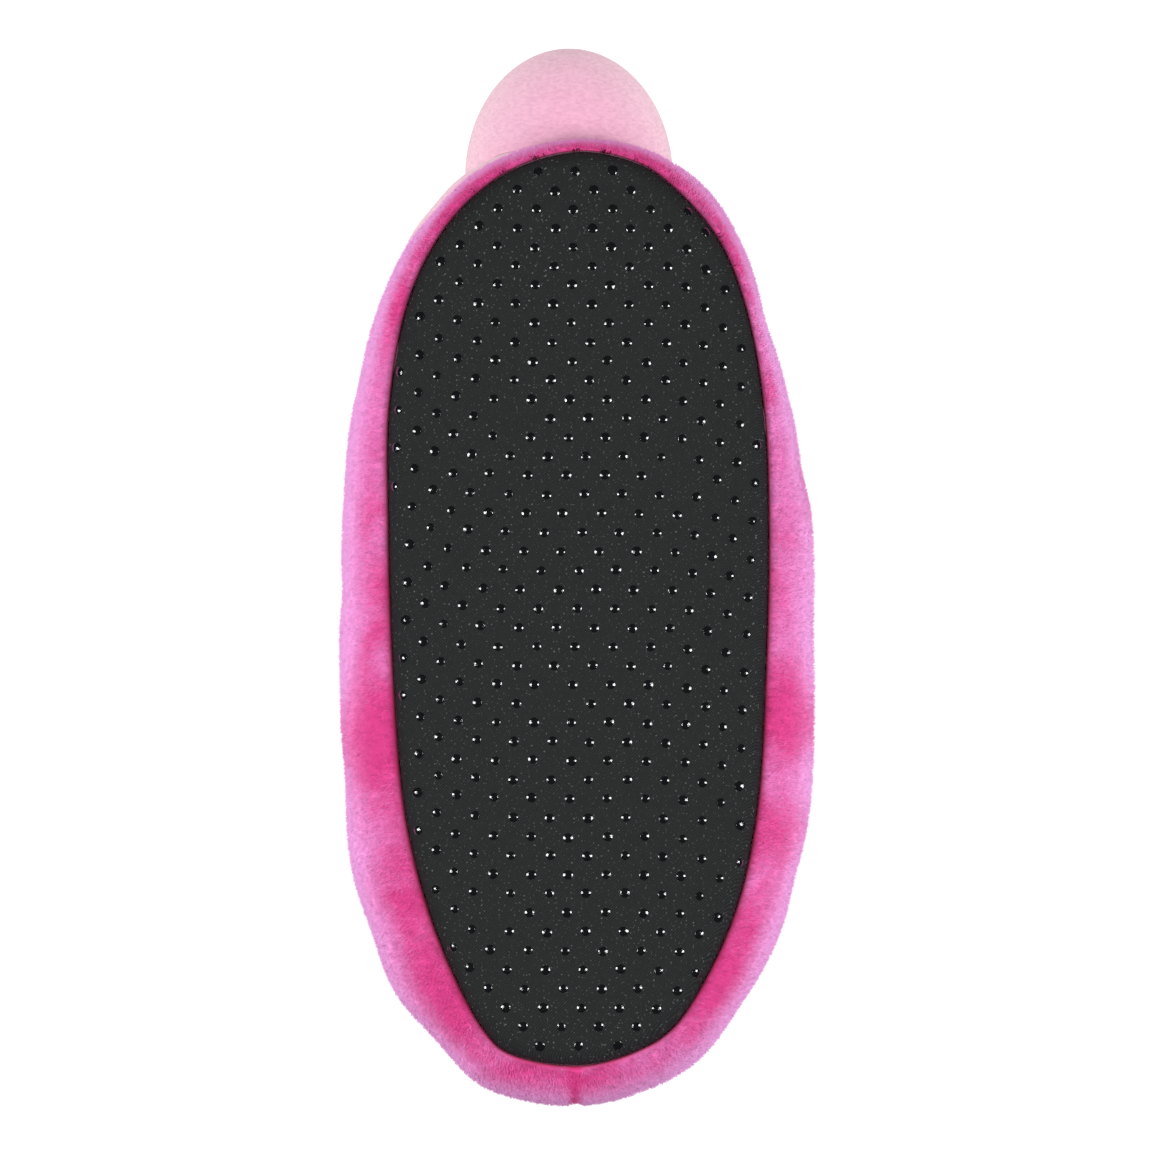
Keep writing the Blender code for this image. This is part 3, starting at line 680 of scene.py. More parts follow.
def inner(around, up):
    """Inner face of the upper, from the sole's top (up 0) to the collar (up 1)."""
    around, up = np.broadcast_arrays(np.asarray(around, float), np.asarray(up, float))
    bulge = edge(around)[..., 2]
    low = bulge_foot(around, np.minimum(up / SEAM_SHARE, 1), bulge - WALL_LOW,
                     SOLE_THICKNESS + GAP, 0.0)
    normal = face_normal(unpressed, around, up)
    level = np.concatenate([edge_normal(around), np.zeros(up.shape + (1,))], -1)
    normal = np.where((up < SEAM_SHARE + 0.003)[..., None], level, normal)
    share = np.maximum(0.0, (up - SEAM_SHARE) / (1 - SEAM_SHARE))
    wall = WALL_LOW + (WALL_RIM - WALL_LOW) * share
    return np.where((up < SEAM_SHARE)[..., None], low,
                    unpressed(around, up) - normal * wall[..., None])


def rim(around, share):
    """Rounded edge of the collar between the outer face (0) and the inner face (1)."""
    out, back = plain_outer(around, 1.0), inner(around, 1.0)
    middle, across = (out + back) / 2, (out - back) / 2
    rise = out - plain_outer(around, 0.997)
    square = (across * across).sum(-1, keepdims=True)
    rise = rise - across * (rise * across).sum(-1, keepdims=True) / square
    rise = rise / np.linalg.norm(rise, axis=-1, keepdims=True) * np.sqrt(square)
    return middle + across * math.cos(share * math.pi) + rise * math.sin(share * math.pi)


def nap_group():
    """Shader node group: deep and pale patches where the pile is brushed two ways."""
    group = bpy.data.node_groups.new("brushed_nap", "ShaderNodeTree")
    face = group.interface
    face.new_socket("Vector", in_out="INPUT", socket_type="NodeSocketVector")
    face.new_socket("Patch Scale", in_out="INPUT", socket_type="NodeSocketFloat")
    face.new_socket("Fibre Scale", in_out="INPUT", socket_type="NodeSocketFloat")
    face.new_socket("Patches", in_out="OUTPUT", socket_type="NodeSocketFloat")
    face.new_socket("Fibres", in_out="OUTPUT", socket_type="NodeSocketFloat")
    nodes, links = group.nodes, group.links
    entry, leave = nodes.new("NodeGroupInput"), nodes.new("NodeGroupOutput")
    patches = nodes.new("ShaderNodeTexNoise")
    patches.inputs["Detail"].default_value = 2.0
    patches.inputs["Distortion"].default_value = 0.6
    links.new(entry.outputs["Vector"], patches.inputs["Vector"])
    links.new(entry.outputs["Patch Scale"], patches.inputs["Scale"])
    stretched = nodes.new("ShaderNodeMapping")
    stretched.inputs["Scale"].default_value = (1.0, 0.45, 0.45)
    links.new(entry.outputs["Vector"], stretched.inputs["Vector"])
    fibres = nodes.new("ShaderNodeTexNoise")
    fibres.inputs["Detail"].default_value = 3.0
    fibres.inputs["Roughness"].default_value = 0.65
    links.new(stretched.outputs["Vector"], fibres.inputs["Vector"])
    links.new(entry.outputs["Fibre Scale"], fibres.inputs["Scale"])
    links.new(patches.outputs["Fac"], leave.inputs["Patches"])
    links.new(fibres.outputs["Fac"], leave.inputs["Fibres"])
    return group


brushed_nap = nap_group()


def plush_material(name, deep, pale, grazing, patch_scale, fibre_scale, sheen, bump):
    """Plush cloth: deep where the nap faces the eye, pale where it lies over, paler still
    along its outline as painted sheen, deeper at its hairs' roots as painted shade, and
    dark red as painted shade where it dives into a seam."""
    made, nodes, links, surface = plain_material(name, deep, 0.9)
    place = shoe_coordinates(nodes, links)
    nap = nodes.new("ShaderNodeGroup")
    nap.node_tree = brushed_nap
    nap.inputs["Patch Scale"].default_value = patch_scale
    nap.inputs["Fibre Scale"].default_value = fibre_scale
    links.new(place, nap.inputs["Vector"])
    spread = nodes.new("ShaderNodeMapRange")
    spread.inputs["From Min"].default_value = 0.36
    spread.inputs["From Max"].default_value = 0.70
    spread.inputs["To Min"].default_value = 0.05
    spread.inputs["To Max"].default_value = 0.85
    links.new(nap.outputs["Patches"], spread.inputs["Value"])

    def drawn(label, weight, base):
        """Adds a named attribute of the mesh, weighted, to a value."""
        source = nodes.new("ShaderNodeAttribute")
        source.attribute_name = label
        total = nodes.new("ShaderNodeMath")
        total.operation = "MULTIPLY_ADD"
        total.inputs[1].default_value = weight
        links.new(source.outputs["Fac"], total.inputs[0])
        links.new(base, total.inputs[2])
        return total

    def blended(factor, first, second, blend="MIX"):
        mixed = nodes.new("ShaderNodeMix")
        mixed.data_type, mixed.blend_type = "RGBA", blend
        for label, value in (("Factor", factor), ("A", first), ("B", second)):
            if isinstance(value, (float, tuple)):
                mixed.inputs[label].default_value = value
            else:
                links.new(value, mixed.inputs[label])
        return mixed.outputs["Result"]

    # Nap patches plus painted shade: the colour is deeper at the hairs' roots and paler at their tips.
    toned = drawn("brush", 1.0, drawn("tip", 0.2, spread.outputs["Result"]).outputs[0])
    toned.use_clamp = True
    base = blended(toned.outputs[0], (*deep, 1.0), (*pale, 1.0))
    # Painted sheen: the colour pales towards the grazing tint where the surface turns away from the eye,
    # less so where the nap is deep.
    facing = nodes.new("ShaderNodeLayerWeight")
    facing.inputs["Blend"].default_value = 0.5
    bent = nodes.new("ShaderNodeMapRange")
    bent.inputs["From Min"].default_value = 0.06
    bent.inputs["From Max"].default_value = 0.82
    bent.inputs["To Max"].default_value = 0.9
    links.new(facing.outputs["Facing"], bent.inputs["Value"])
    one = nodes.new("ShaderNodeValue")
    one.outputs[0].default_value = 1.0
    held = drawn("brush", 0.85, one.outputs[0])
    held.use_clamp = True
    painted_sheen = nodes.new("ShaderNodeMath")
    painted_sheen.operation = "MULTIPLY"
    links.new(bent.outputs["Result"], painted_sheen.inputs[0])
    links.new(held.outputs[0], painted_sheen.inputs[1])
    base = blended(painted_sheen.outputs[0], base, (*grazing, 1.0))
    # Painted shade: dark red where the plush dives into the seam at the sole.
    seam = nodes.new("ShaderNodeAttribute")
    seam.attribute_name = "seam"
    base = blended(seam.outputs["Fac"], base, (0.42, 0.008, 0.045, 1.0))
    ramp = nodes.new("ShaderNodeValToRGB")
    ramp.color_ramp.elements[0].position = 0.35
    ramp.color_ramp.elements[0].color = (0.62, 0.55, 0.60, 1.0)
    ramp.color_ramp.elements[1].position = 0.62
    links.new(nap.outputs["Fibres"], ramp.inputs["Fac"])
    links.new(blended(0.35, base, ramp.outputs["Color"], "MULTIPLY"), surface.inputs["Base Color"])
    raised = nodes.new("ShaderNodeBump")
    raised.inputs["Strength"].default_value = bump
    raised.inputs["Distance"].default_value = 0.0006
    links.new(nap.outputs["Fibres"], raised.inputs["Height"])
    links.new(raised.outputs["Normal"], surface.inputs["Normal"])
    surface.inputs["Sheen Weight"].default_value = sheen
    surface.inputs["Sheen Roughness"].default_value = 0.42
    surface.inputs["Sheen Tint"].default_value = (*grazing, 1.0)
    surface.inputs["Specular IOR Level"].default_value = 0.15
    return made


hot_pink_plush = plush_material("hot_pink_plush", (0.82, 0.070, 0.31), (0.90, 0.27, 0.64),
                                (0.95, 0.44, 0.87), 42.0, 900.0, 0.30, 0.35)
lining_fleece = plush_material("lining_fleece", (0.86, 0.42, 0.56), (0.90, 0.55, 0.68),
                               (0.95, 0.70, 0.80), 60.0, 700.0, 0.3, 0.6)


def upper_mesh():
    """Padded ring: seam, bulge, wall, rounded collar, inner face and inner foot."""
    around = np.arange(COLUMNS) / COLUMNS
    seam = SEAM_SHARE * np.arange(SEAM_ROWS) / SEAM_ROWS
    wall = SEAM_SHARE + (1 - SEAM_SHARE) * np.arange(WALL_ROWS + 1) / WALL_ROWS
    ups = np.concatenate([seam, wall])
    rings = [outer(around, up) for up in ups]
    rings += [rim(around, share) for share in np.linspace(0, 1, 12)[1:-1]]
    inside = np.concatenate([np.linspace(1, SEAM_SHARE, 26), np.linspace(SEAM_SHARE, 0, 8)[1:]])
    rings += [inner(around, up) for up in inside]
    mesh = grid_mesh("upper_plush", rings, wrap_rows=True)
    first_inside = (len(ups) + 8) * COLUMNS
    last_inside = (len(rings) - 1) * COLUMNS
    slots = np.zeros(len(mesh.polygons), np.int32)
    slots[first_inside:last_inside] = 1
    mesh.polygons.foreach_set("material_index", slots)
    tones = {"brush": brush(around[None, :], ups[:, None]),
             # painted shade down in the seam at the sole
             "seam": np.exp(-(ups[:, None] / SEAM_SHADE_REACH) ** 2) + 0 * around[None, :],
             # Painted shade: the bare cloth between the hairs is tinted as if half way up a hair.
             "tip": np.full((len(ups), COLUMNS), 0.5)}
    for label, tone in tones.items():
        values = np.zeros(len(mesh.vertices), np.float32)
        values[:tone.size] = tone.ravel()
        mesh.attributes.new(label, "FLOAT", "POINT").data.foreach_set("value", values)
    return mesh


upper_shape = upper_mesh()
lined = np.zeros(len(upper_shape.polygons), np.int32)
upper_shape.polygons.foreach_get("material_index", lined)
upper = show(upper_shape, hot_pink_plush, lining_fleece)
upper_shape.polygons.foreach_set("material_index", lined)
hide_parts("upper")


# Pile. The velour's nap as fine tapered hairs that lie over towards the collar, thick
# low on the sides, where the sole's seam parts them, and thinner higher up.

PILE_LENGTH = 0.0017
PILE_WIDTH = 0.00036
PILE_LIE = math.radians(56)


def hair_mesh():
    """One hair, a unit long and wide: three sides, a closed root and a point."""
    turns = np.arange(3) * 2 * math.pi / 3
    root = [(0.5 * math.cos(t), 0.5 * math.sin(t), 0.0) for t in turns]
    mesh = bpy.data.meshes.new("hair")
    mesh.from_pydata(root + [(0, 0, 1)], [], [(0, 1, 3), (1, 2, 3), (2, 0, 3), (2, 1, 0)])
    return mesh


def pile_tree(finish):
    """Geometry Nodes: one hair on every point, pointing the way it lies."""
    tree = bpy.data.node_groups.new("pile_" + finish.name, "GeometryNodeTree")
    face = tree.interface
    face.new_socket("Geometry", in_out="INPUT", socket_type="NodeSocketGeometry")
    for label, value in (("Length", PILE_LENGTH), ("Width", PILE_WIDTH)):
        face.new_socket(label, in_out="INPUT", socket_type="NodeSocketFloat").default_value = value
    face.new_socket("Geometry", in_out="OUTPUT", socket_type="NodeSocketGeometry")
    nodes, links = tree.nodes, tree.links
    entry, leave = nodes.new("NodeGroupInput"), nodes.new("NodeGroupOutput")
    one = nodes.new("GeometryNodeObjectInfo")
    one.inputs["Object"].default_value = hair
    place = nodes.new("GeometryNodeInputPosition")
    parts = nodes.new("ShaderNodeSeparateXYZ")
    links.new(place.outputs["Position"], parts.inputs["Vector"])
    # Height up each hair, 0 at its root and 1 at its tip, which the cloth uses for its painted root
    # shade.
    tip = nodes.new("GeometryNodeStoreNamedAttribute")
    tip.data_type, tip.domain = "FLOAT", "POINT"
    tip.inputs["Name"].default_value = "tip"
    links.new(one.outputs["Geometry"], tip.inputs["Geometry"])
    links.new(parts.outputs["Z"], tip.inputs["Value"])
    size = nodes.new("ShaderNodeCombineXYZ")
    for axis, source in (("X", "Width"), ("Y", "Width"), ("Z", "Length")):
        links.new(entry.outputs[source], size.inputs[axis])
    shaped = nodes.new("GeometryNodeTransform")
    links.new(tip.outputs["Geometry"], shaped.inputs["Geometry"])
    links.new(size.outputs["Vector"], shaped.inputs["Scale"])
    points = nodes.new("GeometryNodeMeshToPoints")
    links.new(entry.outputs["Geometry"], points.inputs["Mesh"])
    lie = nodes.new("GeometryNodeInputNamedAttribute")
    lie.data_type = "FLOAT_VECTOR"
    lie.inputs["Name"].default_value = "lie"
    turned = nodes.new("FunctionNodeAlignRotationToVector")
    turned.axis = "Z"
    links.new(lie.outputs["Attribute"], turned.inputs["Vector"])
    scale = nodes.new("GeometryNodeInputNamedAttribute")
    scale.data_type = "FLOAT"
    scale.inputs["Name"].default_value = "size"
    set_out = nodes.new("GeometryNodeInstanceOnPoints")
    links.new(points.outputs["Points"], set_out.inputs["Points"])
    links.new(shaped.outputs["Geometry"], set_out.inputs["Instance"])
    links.new(turned.outputs["Rotation"], set_out.inputs["Rotation"])
    links.new(scale.outputs["Attribute"], set_out.inputs["Scale"])
    real = nodes.new("GeometryNodeRealizeInstances")
    links.new(set_out.outputs["Instances"], real.inputs["Geometry"])
    coat = nodes.new("GeometryNodeSetMaterial")
    coat.inputs["Material"].default_value = finish
    links.new(real.outputs["Geometry"], coat.inputs["Geometry"])
    links.new(coat.outputs["Geometry"], leave.inputs["Geometry"])
    return tree


hair = bpy.data.objects.new("hair", hair_mesh())
bpy.context.scene.collection.objects.link(hair)


def pile_mesh(name, places, skins, lies, sizes, tones, finish, length, width):
    """Hairs as one mesh, shaded like the cloth under them."""
    world_lie, world_skin = lies @ np.array(TURN).T, skins @ np.array(TURN).T
    roots = laid(places)
    clear = (roots + world_lie * (length * sizes)[:, None])[:, 2] > 0.0004
    seeds = seed_mesh(name + "_seeds", roots[clear],
                      {"lie": world_lie[clear], "skin": world_skin[clear]},
                      {"size": sizes[clear], **{key: tones[key][clear] for key in tones}})
    made = grown(name, seeds, pile_tree(finish), {"Length": length, "Width": width})
    made.shade_smooth()
    made.materials.clear()
    skin = np.zeros(len(made.vertices) * 3, np.float32)
    made.attributes["skin"].data.foreach_get("vector", skin)
    made.normals_split_custom_set_from_vertices(skin.reshape(-1, 3).tolist())
    return made


def hairs_on_upper(count, low, high, seed, lie):
    """Random places on the upper between two levels, with their skin and lie."""
    pick = np.random.default_rng(seed)
    columns, rows = 600, 60
    around = (np.arange(columns) + 0.5) / columns
    ups = low + (high - low) * (np.arange(rows) + 0.5) / rows
    grid = plain_outer(around[None, :], ups[:, None])
    across = np.linalg.norm(np.roll(grid, -1, axis=1) - grid, axis=-1)
    upward = np.linalg.norm(np.gradient(grid, axis=0), axis=-1)
    area = (across * upward).ravel()
    cell = pick.choice(len(area), count, p=area / area.sum())
    around = (cell % columns + pick.random(count)) / columns
    up = low + (high - low) * (cell // columns + pick.random(count)) / rows
    skin = face_normal(outer, around, up)
    upway = outer(around, np.minimum(up + 0.004, 1)) - outer(around, up)
    upway /= np.linalg.norm(upway, axis=-1, keepdims=True)
    sideways = np.cross(skin, upway)
    swing = pick.normal(0.25, 0.30, count)
    flow = upway * np.cos(swing)[:, None] + sideways * np.sin(swing)[:, None]
    bend = lie + pick.normal(0, 0.14, count)
    lies = skin * np.cos(bend)[:, None] + flow * np.sin(bend)[:, None]
    sizes = pick.uniform(0.75, 1.15, count)
    tones = {"brush": brush(around, up) + pick.normal(0, 0.16, count),
             # painted shade down in the seam at the sole
             "seam": np.exp(-(up / SEAM_SHADE_REACH) ** 2)}
    return outer(around, up) - skin * 0.00012, skin, lies, sizes, tones


for word, count, low, high, seed in (("seam", 40000, 0.012, 0.15, 11),
                                     ("side", 46000, 0.15, 0.36, 12),
                                     ("wall", 48000, 0.36, 0.66, 13),
                                     ("collar", 40000, 0.66, 0.998, 14)):
    hairs = hairs_on_upper(count, low, high, seed, PILE_LIE)
    pile = show(pile_mesh("pile_" + word, *hairs, hot_pink_plush, PILE_LENGTH, PILE_WIDTH),
                hot_pink_plush)


# Footbed. A thin pad covered in the lining's fleece, laid loose on the sole inside.

FOOTBED_THICKNESS = 0.008
FOOTBED_EDGE_RADIUS = 0.0025


def footbed_mesh():
    """Padded insole whose side follows the inside of the upper."""
    around = np.arange(COLUMNS) / COLUMNS
    levels = np.linspace(0, SEAM_SHARE + 0.2, 60)
    face = np.array([inner(around, up) for up in levels])
    bottom = SOLE_THICKNESS + GAP
    side_top = bottom + FOOTBED_THICKNESS - FOOTBED_EDGE_RADIUS

    def plan_at(height, inset):
        plan = np.array([[np.interp(height, face[:, i, 2], face[:, i, axis]) for axis in (0, 1)]
                         for i in range(COLUMNS)])
        return plan - edge_normal(around) * inset

    rings = [np.column_stack([plan_at(h, 2 * GAP), np.full(COLUMNS, h)])
             for h in np.linspace(bottom, side_top, 4)]
    for turn in np.linspace(0, math.pi / 2, 6)[1:]:
        inset = 2 * GAP + FOOTBED_EDGE_RADIUS * (1 - math.cos(turn))
        height = side_top + FOOTBED_EDGE_RADIUS * math.sin(turn)
        rings.append(np.column_stack([plan_at(side_top, inset), np.full(COLUMNS, height)]))
    top = rings[-1]
    middle = top.mean(0)
    for share in np.linspace(0.94, 0.05, 14):
        ring = middle + (top - middle) * share
        ring[:, 2] = top[:, 2] - 0.0010 * (1 - share ** 6)
        rings.append(ring)
    return grid_mesh("footbed_fleece", rings, cap_first=True, cap_last=True)


footbed = show(footbed_mesh(), lining_fleece)
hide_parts("footbed")


# Face patch. Light pink plush sewn over the toe of the upper, with its edge turned under.

PATCH_GAP = 0.00015
PATCH_THICKNESS = 0.0024
PATCH_MIDDLE = -0.013
PATCH_REACH = 0.079
PATCH_LEVEL = 0.50
PATCH_SLOPE = 1.5
PATCH_RISE = 0.17
PATCH_SQUARENESS = 2.5


def patch_surface(share_round, share_up, grow=0.0):
    """Places round and up on the upper for shares from -1 to 1 of the patch."""
    around = PATCH_MIDDLE + (PATCH_REACH + grow) * share_round
    power = PATCH_SQUARENESS
    half = (PATCH_RISE + grow) * (1 - np.abs(share_round) ** power) ** (1 / power)
    return around, PATCH_LEVEL + PATCH_SLOPE * around + half * share_up


light_pink_plush = plush_material("light_pink_plush", (0.81, 0.41, 0.56), (0.84, 0.48, 0.63),
                                  (0.88, 0.62, 0.69), 55.0, 1300.0, 0.2, 0.2)


def patch_rise(share, across):
    """Thickness of the patch over its rounded edges."""
    return PATCH_THICKNESS * (1 - across ** 4) ** 0.6 * (1 - abs(share) ** 6) ** 0.6


def patch_mesh():
    """Overlay between the upper and a softly rounded front."""
    sections = []
    across = np.sin(np.linspace(-math.pi / 2, math.pi / 2, 42))
    for share in np.sin(np.linspace(-0.47 * math.pi, 0.47 * math.pi, 150)):
        around, up = patch_surface(share, across)
        rise = PATCH_GAP + 0.0002 + patch_rise(share, across) * 0.95
        front = off_upper(around, up, rise[..., None])
        back = off_upper(around, up, PATCH_GAP)[::-1]
        sections.append(np.vstack([front, back[1:-1]]))
    return grid_mesh("face_patch_plush", sections, cap_first=True, cap_last=True)


face_patch = show(patch_mesh(), light_pink_plush)
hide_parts("face_patch")


# Muzzle. A stuffed dome of the same light pink plush, sewn to the head past the toe.

MUZZLE_CENTRE = Vector((SOLE_LENGTH - 0.0057, -0.0024, 0.044))
MUZZLE_HALVES = Vector((0.0352, 0.02825, 0.026))


def ball_mesh(name, centre, halves, segments, rings, turn=None):
    """Smooth ellipsoid in the shoe's frame, not yet laid down."""
    mesh = bpy.data.meshes.new(name)
    shape = bmesh.new()
    bmesh.ops.create_uvsphere(shape, u_segments=segments, v_segments=rings, radius=1.0)
    turned = turn.to_4x4() if turn else Matrix.Identity(4)
    size = Matrix.Diagonal((*halves, 1.0))
    shape.transform(Matrix.Translation(centre) @ turned @ size)
    shape.transform(Matrix.Translation(SHIFT) @ TURN.to_4x4())
    shape.to_mesh(mesh)
    shape.free()
    return mesh


def head_form(distance):
    """Solid of the head's front at a distance off the upper, for cutting."""
    around = np.arange(260) / 260
    ups = np.linspace(0.06, 1.0, 70)
    mesh = grid_mesh("head_form", [off_upper(around, up, distance) for up in ups],
                     cap_first=True, cap_last=True)
    return mesh


def patch_form(distance):
    """Solid round the face patch, for cutting."""
    sections = []
    across = np.sin(np.linspace(-math.pi / 2, math.pi / 2, 40))
    for share in np.sin(np.linspace(-0.47 * math.pi, 0.47 * math.pi, 90)):
        around, up = patch_surface(share, across, 0.003)
        front = off_upper(around, up, (distance + patch_rise(share, across))[..., None])
        back = off_upper(around, up, -0.002)[::-1]
        sections.append(np.vstack([front, back]))
    return grid_mesh("patch_form", sections, cap_first=True, cap_last=True)


def scratch(mesh):
    thing = bpy.data.objects.new(mesh.name, mesh)
    bpy.context.scene.collection.objects.link(thing)
    return thing


head_cutter = scratch(head_form(GAP))
patch_cutter = scratch(patch_form(GAP))


def cut_mesh(mesh, *cutters):
    """The mesh less its cutters, as a plain mesh."""
    thing = scratch(mesh)
    for cutter in cutters:
        step = thing.modifiers.new("cut", "BOOLEAN")
        step.operation, step.solver, step.object = "DIFFERENCE", "EXACT", cutter
    live = thing.evaluated_get(bpy.context.evaluated_depsgraph_get())
    made = bpy.data.meshes.new_from_object(live)
    name = mesh.name
    bpy.data.objects.remove(thing, do_unlink=True)
    bpy.data.meshes.remove(mesh)
    made.name = name
    made.shade_smooth()
    made.set_sharp_from_angle(angle=math.radians(40))
    return made


muzzle = show(cut_mesh(ball_mesh("muzzle_plush", MUZZLE_CENTRE, MUZZLE_HALVES, 160, 110),
                       head_cutter, patch_cutter), light_pink_plush)
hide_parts("muzzle")


# Nostrils. Raised ovals of dark pink satin stitch on the top front of the muzzle.

NOSTRIL_SPREAD = math.radians(21)
NOSTRIL_RISE = math.radians(33)
NOSTRIL_LENGTH = 0.0105
NOSTRIL_WIDTH = 0.0070
NOSTRIL_THICKNESS = 0.0016


def thread_material():
    made, nodes, links, surface = plain_material("dark_pink_thread", (0.42, 0.035, 0.17), 0.45)
    place = nodes.new("ShaderNodeTexCoord")
    grain = nodes.new("ShaderNodeTexNoise")
    grain.inputs["Scale"].default_value = 2500.0
    links.new(place.outputs["Object"], grain.inputs["Vector"])
    raised = nodes.new("ShaderNodeBump")
    raised.inputs["Strength"].default_value = 0.3
    raised.inputs["Distance"].default_value = 0.0001
    links.new(grain.outputs["Fac"], raised.inputs["Height"])
    links.new(raised.outputs["Normal"], surface.inputs["Normal"])
    surface.inputs["Sheen Weight"].default_value = 0.3
    return made


dark_pink_thread = thread_material()


def nostril_mesh(name, side):
    """Half an ellipsoid of satin stitches seated on the muzzle."""
    heading = Vector((math.cos(NOSTRIL_RISE) * math.cos(NOSTRIL_SPREAD),
                      side * math.cos(NOSTRIL_RISE) * math.sin(NOSTRIL_SPREAD),
                      math.sin(NOSTRIL_RISE)))
    scaled = Vector([heading[axis] / MUZZLE_HALVES[axis] for axis in range(3)])
    on_skin = MUZZLE_CENTRE + heading / scaled.length
    normal = Vector([(on_skin - MUZZLE_CENTRE)[axis] / MUZZLE_HALVES[axis] ** 2
                     for axis in range(3)]).normalized()
    frame_turn = normal.to_track_quat("Z", "Y").to_matrix()
    rings = []
    for level in np.linspace(0, 1, 14):
        ring = []
        for step in range(96):
            turn = step * 2 * math.pi / 96
            flat = math.sqrt(max(0.0, 1 - level ** 2)) if level < 1 else 0.02
            x, y = math.cos(turn) * flat, math.sin(turn) * flat
            ridge = 0.00012 * abs(math.sin(x * 11 * math.pi)) if level > 0 else 0.0
            point = Vector((x * NOSTRIL_LENGTH / 2, y * NOSTRIL_WIDTH / 2,
                            level * NOSTRIL_THICKNESS * 0.93 + ridge))
            ring.append(on_skin + normal * GAP + frame_turn @ point)
        rings.append([tuple(point) for point in ring])
    return grid_mesh(name, rings, cap_first=True, cap_last=True)


for side, word in ((1, "left"), (-1, "right")):
    nostril = show(nostril_mesh("nostril_stitch_" + word, side), dark_pink_thread)
    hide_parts("nostril_" + word)


# Eyes. Black moulded beads with a shank through the plush, high on the head.

EYE_PLACE = (0.056, 0.735)
EYE_DIAMETER = 0.0125
EYE_STAND_OUT = 0.0042


def bead_material():
    made, nodes, links, surface = plain_material("black_bead", (0.008, 0.008, 0.010), 0.08)
    surface.inputs["Coat Weight"].default_value = 1.0
    surface.inputs["Coat Roughness"].default_value = 0.03
    place = nodes.new("ShaderNodeTexCoord")
    dust = nodes.new("ShaderNodeTexNoise")
    dust.inputs["Scale"].default_value = 600.0
    links.new(place.outputs["Object"], dust.inputs["Vector"])
    spread = nodes.new("ShaderNodeMapRange")
    spread.inputs["To Min"].default_value = 0.05
    spread.inputs["To Max"].default_value = 0.16
    links.new(dust.outputs["Fac"], spread.inputs["Value"])
    links.new(spread.outputs["Result"], surface.inputs["Roughness"])
    return made


black_bead = bead_material()

for side, word in ((1, "left"), (-1, "right")):
    around, up = side * EYE_PLACE[0], EYE_PLACE[1]
    seat = Vector(off_upper(around, up, GAP))
    turn = Vector(face_normal(plain_outer, around, up)).to_track_quat("Z", "Y").to_matrix()
    ball = ball_mesh("eye_bead_" + word, seat,
                     (EYE_DIAMETER / 2, EYE_DIAMETER / 2, EYE_STAND_OUT), 48, 32, turn)
    eye = show(cut_mesh(ball, head_cutter, patch_cutter), black_bead)
    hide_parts("eye_" + word)


# Ears. Padded leaves of hot pink plush faced with light pink, folded forward and sewn
# into the head by their roots.

EAR_PLACE = (0.068, 0.84)
EAR_LENGTH = 0.034
EAR_WIDTH = 0.034
EAR_THICKNESS = 0.0080
EAR_TAPER = 0.45
EAR_FOLD = math.radians(104)
EAR_CUP = 0.0030
EAR_ROOT = 0.009
EAR_SPLAY = math.radians(11)
EAR_TILT_BACK = math.radians(26)
LINING_THICKNESS = 0.0014
LINING_MARGIN = 0.0050
LINING_GAP = 0.00045
EAR_OUTLINE = [
    # height, width
    (0.00, 0.88),
    (0.20, 0.96),
    (0.40, 1.00),
    (0.58, 0.96),
    (0.74, 0.84),
    (0.87, 0.64),
    (0.95, 0.42),
    (1.00, 0.18),
]


def ear_point(side, share, height, lift):
    """Point across and up the ear's middle sheet, with a lift towards its front."""
    seat = Vector(plain_outer(side * EAR_PLACE[0], EAR_PLACE[1]))
    rise = Vector((-math.sin(EAR_TILT_BACK), side * math.sin(EAR_SPLAY), 1.0)).normalized()
    forward = Vector((1.0, side * math.sin(EAR_SPLAY), 0.0))
    forward = (forward - rise * forward.dot(rise)).normalized()
    across = rise.cross(forward)
    radius = (EAR_LENGTH + EAR_ROOT) / EAR_FOLD
    turn = height * EAR_FOLD
    width = float(np.interp(height, *zip(*EAR_OUTLINE))) * EAR_WIDTH / 2
    facing = forward * math.cos(turn) - rise * math.sin(turn)
    point = seat - rise * EAR_ROOT
    point += rise * (radius * math.sin(turn)) + forward * (radius * (1 - math.cos(turn)))
    return point + across * (share * width) + facing * (EAR_CUP * share ** 2 + lift)


def ear_mesh(name, side):
    """Padded leaf, thick in the middle, cupped and folded forward."""
    sections = []
    for height in np.sin(np.linspace(0, math.pi / 2, 44)):
        thick = EAR_THICKNESS * (1 - EAR_TAPER * height)
        ring = [tuple(ear_point(side, math.cos(turn), height, thick / 2 * math.sin(turn)))
                for turn in np.arange(64) * 2 * math.pi / 64]
        sections.append(ring)
    return grid_mesh(name, sections, cap_first=True, cap_last=True)


def ear_lining_mesh(name, side):
    """Thin plush face laid on the front of the ear."""
    sections = []
    length = EAR_LENGTH + EAR_ROOT
    first = (EAR_ROOT + 2 * LINING_MARGIN) / length
    last = 1 - LINING_MARGIN / length
    for height in np.linspace(first, last, 36):
        half = float(np.interp(height, *zip(*EAR_OUTLINE))) * EAR_WIDTH / 2
        margin = LINING_MARGIN * (0.6 + 0.6 * (height - first) / (last - first))
        inset = (half - margin) / half
        thick = EAR_THICKNESS * (1 - EAR_TAPER * height)
        end = max(0.05, 1 - abs(2 * (height - first) / (last - first) - 1) ** 8)
        front, back = [], []
        for step in np.sin(np.linspace(-math.pi / 2, math.pi / 2, 24)):
            share = step * inset
            skin = thick / 2 * math.sqrt(1 - share ** 2) + LINING_GAP
            rise = LINING_THICKNESS * math.sqrt(max(0.0, 1 - step ** 8)) * end
            front.append(tuple(ear_point(side, share, height, skin + 0.0001 + rise)))
            back.append(tuple(ear_point(side, share, height, skin)))
        sections.append(front + back[::-1])
    return grid_mesh(name, sections, cap_first=True, cap_last=True)


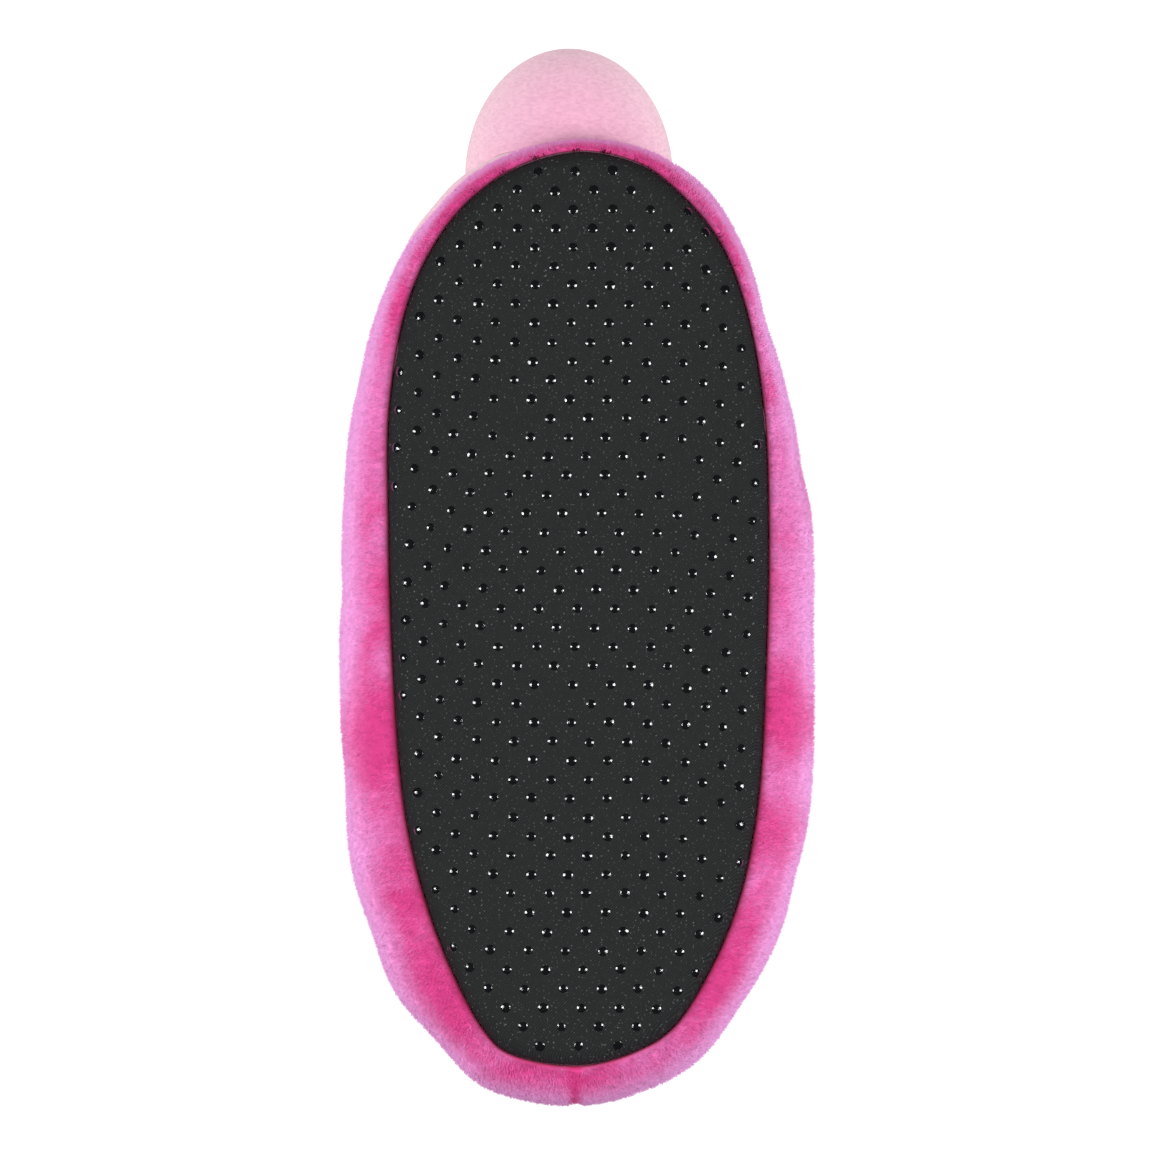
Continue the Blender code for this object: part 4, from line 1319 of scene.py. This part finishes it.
for side, word in ((1, "left"), (-1, "right")):
    ear = show(cut_mesh(ear_mesh("ear_plush_" + word, side), head_cutter), hot_pink_plush)
    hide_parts("ear_" + word)
    lining = show(ear_lining_mesh("ear_face_" + word, side), light_pink_plush)
    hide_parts("ear_lining_" + word)

for scrap in (head_cutter, patch_cutter, hair):
    bpy.data.objects.remove(scrap, do_unlink=True)


# Stage. A pale seamless floor, a pale room and two soft lights either side of the camera,
# a little towards the heel. The floor casts no shadow, so that the lower light reaches
# the side that lies on it.

CAMERA_DISTANCE = 3.00
PICTURE_WIDTH = 0.3085
PICTURE_MIDDLE = (0.1312, -0.0005)

floor_mesh = bpy.data.meshes.new("floor")
floor_mesh.from_pydata([(-6, -6, 0), (6, -6, 0), (6, 6, 0), (-6, 6, 0)], [], [(0, 1, 2, 3)])
floor = bpy.data.objects.new("floor", floor_mesh)
bpy.context.scene.collection.objects.link(floor)
pale, pale_nodes, pale_links, pale_surface = plain_material("pale_floor", (0.10, 0.10, 0.10), 0.9)
pale_surface.inputs["Specular IOR Level"].default_value = 0.0
pale_surface.inputs["Emission Color"].default_value = (1.0, 1.0, 1.0, 1.0)
pale_surface.inputs["Emission Strength"].default_value = 1.05
floor_mesh.materials.append(pale)
floor.visible_shadow = False
floor.visible_glossy = False
floor.visible_diffuse = False

room = bpy.data.worlds.new("pale_room")
bpy.context.scene.world = room
room.use_nodes = True
room.node_tree.nodes["Background"].inputs["Color"].default_value = (1.0, 1.0, 1.0, 1.0)
room.node_tree.nodes["Background"].inputs["Strength"].default_value = 0.87
room.cycles_visibility.glossy = False

aim = Vector(laid([PICTURE_MIDDLE[0], PICTURE_MIDDLE[1], 0.0]))


def softbox(name, direction, distance, size, power):
    """Square area light in a direction of the shoe's frame, aimed at the sole."""
    away = (TURN @ Vector(direction)).normalized()
    lamp = bpy.data.lights.new(name, "AREA")
    lamp.shape = "RECTANGLE"
    lamp.size, lamp.size_y = size
    lamp.energy = power
    thing = bpy.data.objects.new(name, lamp)
    bpy.context.scene.collection.objects.link(thing)
    thing.matrix_world = (Matrix.Translation(aim + away * distance)
                          @ away.to_track_quat("Z", "Y").to_matrix().to_4x4())
    thing.visible_camera = False


softbox("softbox_upper_side", (-0.10, -1.0, -0.84), 0.62, (0.20, 0.24), 1.7)
softbox("softbox_floor_side", (-0.10, 1.0, -0.84), 0.62, (0.20, 0.24), 1.7)

camera_data = bpy.data.cameras.new("camera")
camera_data.sensor_width = 36.0
camera_data.lens = 36.0 * CAMERA_DISTANCE / PICTURE_WIDTH
camera_data.clip_start, camera_data.clip_end = 0.05, 50.0
camera = bpy.data.objects.new("camera", camera_data)
bpy.context.scene.collection.objects.link(camera)
back, up_image = TURN @ Vector((0, 0, -1)), TURN @ Vector((1, 0, 0))
side_image = up_image.cross(back)
camera.matrix_world = (Matrix.Translation(aim + back * CAMERA_DISTANCE)
                       @ Matrix((side_image, up_image, back)).transposed().to_4x4())
bpy.context.scene.camera = camera
bpy.context.scene.view_settings.view_transform = "Standard"
